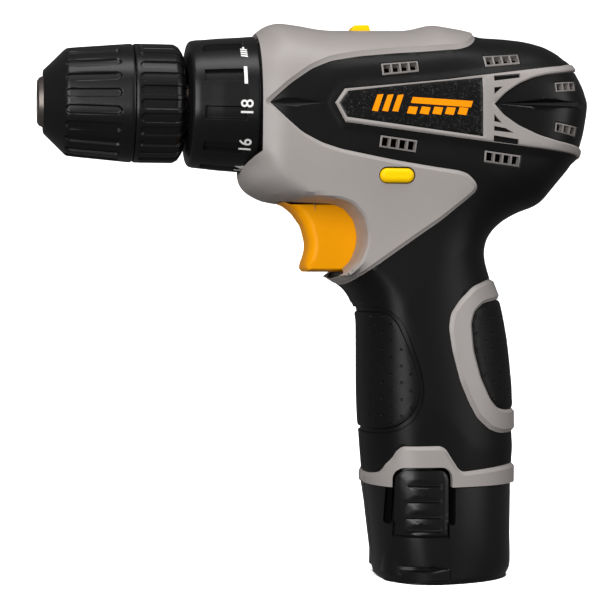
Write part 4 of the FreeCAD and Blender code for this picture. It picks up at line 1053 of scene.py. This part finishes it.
def bar_art(x0, x1, y0, y1, lean=0.0, cuts=6):
    """Raised bar in artwork coordinates."""
    points = []
    for z in (0.0, MARK_THICK):
        for k in range(cuts + 1):
            t = k / cuts
            x = x0 + (x1 - x0) * t
            points += [(x, y0, z), (x + lean, y1, z)]
    n = 2 * (cuts + 1)
    faces = []
    for k in range(cuts):
        a = 2 * k
        faces += [(a, a + 1, a + 3, a + 2), (a + n, a + 2 + n, a + 3 + n, a + 1 + n),
                  (a, a + 2, a + 2 + n, a + n), (a + 1, a + 1 + n, a + 3 + n, a + 3)]
    faces += [(0, n, n + 1, 1), (n - 2, n - 1, 2 * n - 1, 2 * n - 2)]
    return np.array(points), faces


art.append(wrapped(*bar_art(-2.9, 2.9, 1.5, 2.5), BAR_TURN))
for k in range(4):
    art.append(wrapped(*bar_art(-1.9 + 1.0 * k, -1.3 + 1.0 * k, 1.0, 3.0, 0.5, 2), BIT_TURN))
art.append(wrapped(*bar_art(2.1, 3.0, 1.7, 2.3, 0.0, 2), BIT_TURN))
marks = new_mesh("collar_marks", *merged(art), white_paint)
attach(marks, "collar")


# ---------------------------------------------------------------- pillow solids: trigger, buttons, knob
def pillow(outline, half, radius, rings=5, taper=1.0):
    """Closed solid between two flat sides with rounded edges. The outline runs counter-clockwise in (x, z)."""
    levels = []
    for k in range(rings + 1):
        t = 0.5 * math.pi * k / rings
        levels.append((radius * (1 - math.sin(t)), -(half - radius * (1 - math.cos(t)))))
    levels = [(radius * 1.08, -half)] + levels
    layout = levels + [(inset, -y) for inset, y in levels[::-1]]
    outline = np.asarray(outline, float)
    n = len(outline)
    inward = (offset(outline, 1.0, True) - outline) * np.reshape(taper, (-1, 1))
    points = []
    for inset, y in layout:
        ring_points = outline + inset * inward
        points.append(np.column_stack([ring_points[:, 0], np.full(n, y), ring_points[:, 1]]))
    count = len(layout)
    faces = []
    for i in range(count - 1):
        for k in range(n):
            m = (k + 1) % n
            faces.append((i * n + k, i * n + m, (i + 1) * n + m, (i + 1) * n + k))
    faces.append(tuple(range(n))[::-1])
    faces.append(tuple((count - 1) * n + k for k in range(n)))
    return np.vstack(points), [f[::-1] for f in faces]


def pillow_piece(name, parts, body, node, slot):
    placed(new_mesh(name, *merged(parts), looks[slot], PILLOW_ANGLE), body, [node])


PILLOW_ANGLE = 35.0
TRIGGER_ROUND = 5.0
trigger_front = smooth([(74.2, -29.95), (75.8, -31.0), (78.3, -33.1), (81.2, -37.2), (82.5, -42.2), (82.3, -45.1),
                        (81.1, -48.6), (81.0, -50.2), (82.1, -51.2)], 0.6, 0.7)
trigger_back = resampled([(83.5, -51.25), (100, -51.25), (100, -29.75), (76.4, -29.75)], 1.2)
trigger_outline = np.vstack([trigger_front, trigger_back])
front_share = np.where(np.arange(len(trigger_outline)) < len(trigger_front), 0.55, 0.2)
tip_share = np.clip((trigger_outline[:, 0] - 74.1) / 8.0, 0.02, 1) * 0.9
heel_share = np.clip((trigger_outline[:, 1] + 51.3) / 5.0, 0.2, 1) * 0.6
trigger_taper = np.minimum(front_share, np.minimum(tip_share, np.where(front_share > 0.3, heel_share, 1.0)))
rod_outline = [(98.0, -43.4), (113.5, -43.4), (113.5, -38.6), (98.0, -38.6)]
pillow_piece("trigger_grip", [pillow(trigger_outline, 7.8, TRIGGER_ROUND, 8, trigger_taper),
                              pillow(rod_outline, 2.4, 0.8, 3)],
             "trigger_body", "trigger", "trigger_orange")
pillow_piece("direction_slider", [pillow(capsule(BUTTON[0], BUTTON[1], 2.25, 3.05), 23.4, 1.5, 6)],
             "direction_body", "direction_button", "button_yellow")
knob = [(96.2, 18.9), (102.2, 18.9), (102.2, 23.5), (101.6, 25.2), (97.1, 25.0), (96.2, 23.5)]
arm = [(83.8, 18.9), (103.8, 18.9), (103.8, 19.8), (83.8, 19.8)]
pillow_piece("speed_knob", [pillow(cornered(knob, 0.8), 4.0, 0.35, 4), pillow(arm, 4.0, 0.2, 2)],
             "speed_shift", "speed_selector", "button_yellow")

# ---------------------------------------------------------------- floor, light and camera
FLOOR_Z = BASE_Z * MM
stage_material = bpy.data.materials.new("paper")
stage_material.use_nodes = True
tree = stage_material.node_tree
paper = tree.nodes["Principled BSDF"]
paper.inputs["Roughness"].default_value = 0.9
grain = shader_node(tree, "TexNoise", {"Scale": 40.0})
tree.links.new(colour_ramp(tree, grain.outputs["Fac"], (0, [0.90] * 3), (1, [0.93] * 3)), paper.inputs["Base Color"])
sweep = []
REACH, CURVE = 0.9, 0.5
for k in range(13):
    t = 0.5 * math.pi * k / 12
    sweep.append((REACH + CURVE * math.sin(t), FLOOR_Z + CURVE * (1 - math.cos(t))))
sweep = [(-3.0, FLOOR_Z)] + sweep + [(REACH + CURVE, 3.0)]
points = [(x, y, z) for y, z in sweep for x in (-4.0, 4.0)]
mesh = bpy.data.meshes.new("paper_sweep")
mesh.from_pydata(points, [], [(2 * i, 2 * i + 1, 2 * i + 3, 2 * i + 2) for i in range(len(sweep) - 1)])
mesh.materials.append(stage_material)
mesh.shade_smooth()
floor = in_scene("paper_sweep", mesh)
floor.visible_diffuse = False
floor.visible_glossy = False

world = bpy.data.worlds.new("studio")
bpy.context.scene.world = world
world.use_nodes = True
tree = world.node_tree
room = tree.nodes["Background"]
room.inputs["Color"].default_value = (1.0, 1.0, 1.0, 1.0)
room.inputs["Strength"].default_value = 0.13
beyond = shader_node(tree, "Background", {"Color": (1.0, 1.0, 1.0, 1.0)})
either = shader_node(tree, "MixShader", Fac=shader_node(tree, "LightPath").outputs["Is Camera Ray"])
tree.links.new(room.outputs[0], either.inputs[1])
tree.links.new(beyond.outputs[0], either.inputs[2])
tree.links.new(either.outputs[0], tree.nodes["World Output"].inputs[0])


def aimed(obj, eye, target):
    obj.location = eye
    obj.rotation_mode = "QUATERNION"
    obj.rotation_quaternion = (target - eye).to_track_quat("-Z", "Y")
    return obj


def softbox(name, position, target, width, height_m, watts):
    light = bpy.data.lights.new(name, "AREA")
    light.shape = "RECTANGLE"
    light.size, light.size_y = width, height_m
    light.energy = watts
    return aimed(in_scene(name, light), Vector(position), Vector(target))


AIM = (0.09, 0.0, -0.05)
softbox("key", (-0.50, -0.85, 0.22), AIM, 0.7, 0.7, 8.0)
softbox("top", (0.10, -0.30, 0.80), AIM, 0.9, 0.3, 5.0)
softbox("side", (0.80, -0.55, 0.15), AIM, 0.4, 0.7, 3.0)
softbox("low", (-0.35, -0.60, -0.14), (0.02, 0.0, -0.02), 0.6, 0.2, 2.6)
floor_only = bpy.data.collections.new("floor_only")
floor_only.objects.link(floor)
wash = softbox("floor_wash", (0.1, -0.3, 2.2), (0.1, 0.4, -0.15), 3.0, 3.0, 160.0)
wash.light_linking.receiver_collection = floor_only

EYE = Vector((-14.6, -562.0, -60.0)) * MM
LOOK = Vector((80.7, 0.0, -60.0)) * MM
camera_data = bpy.data.cameras.new("camera")
camera_data.lens = 110.4
camera_data.sensor_width = 36.0
camera_data.clip_start = 0.01
camera = aimed(in_scene("camera", camera_data), EYE, LOOK)
bpy.context.scene.camera = camera
bpy.context.scene.view_settings.view_transform = "Standard"
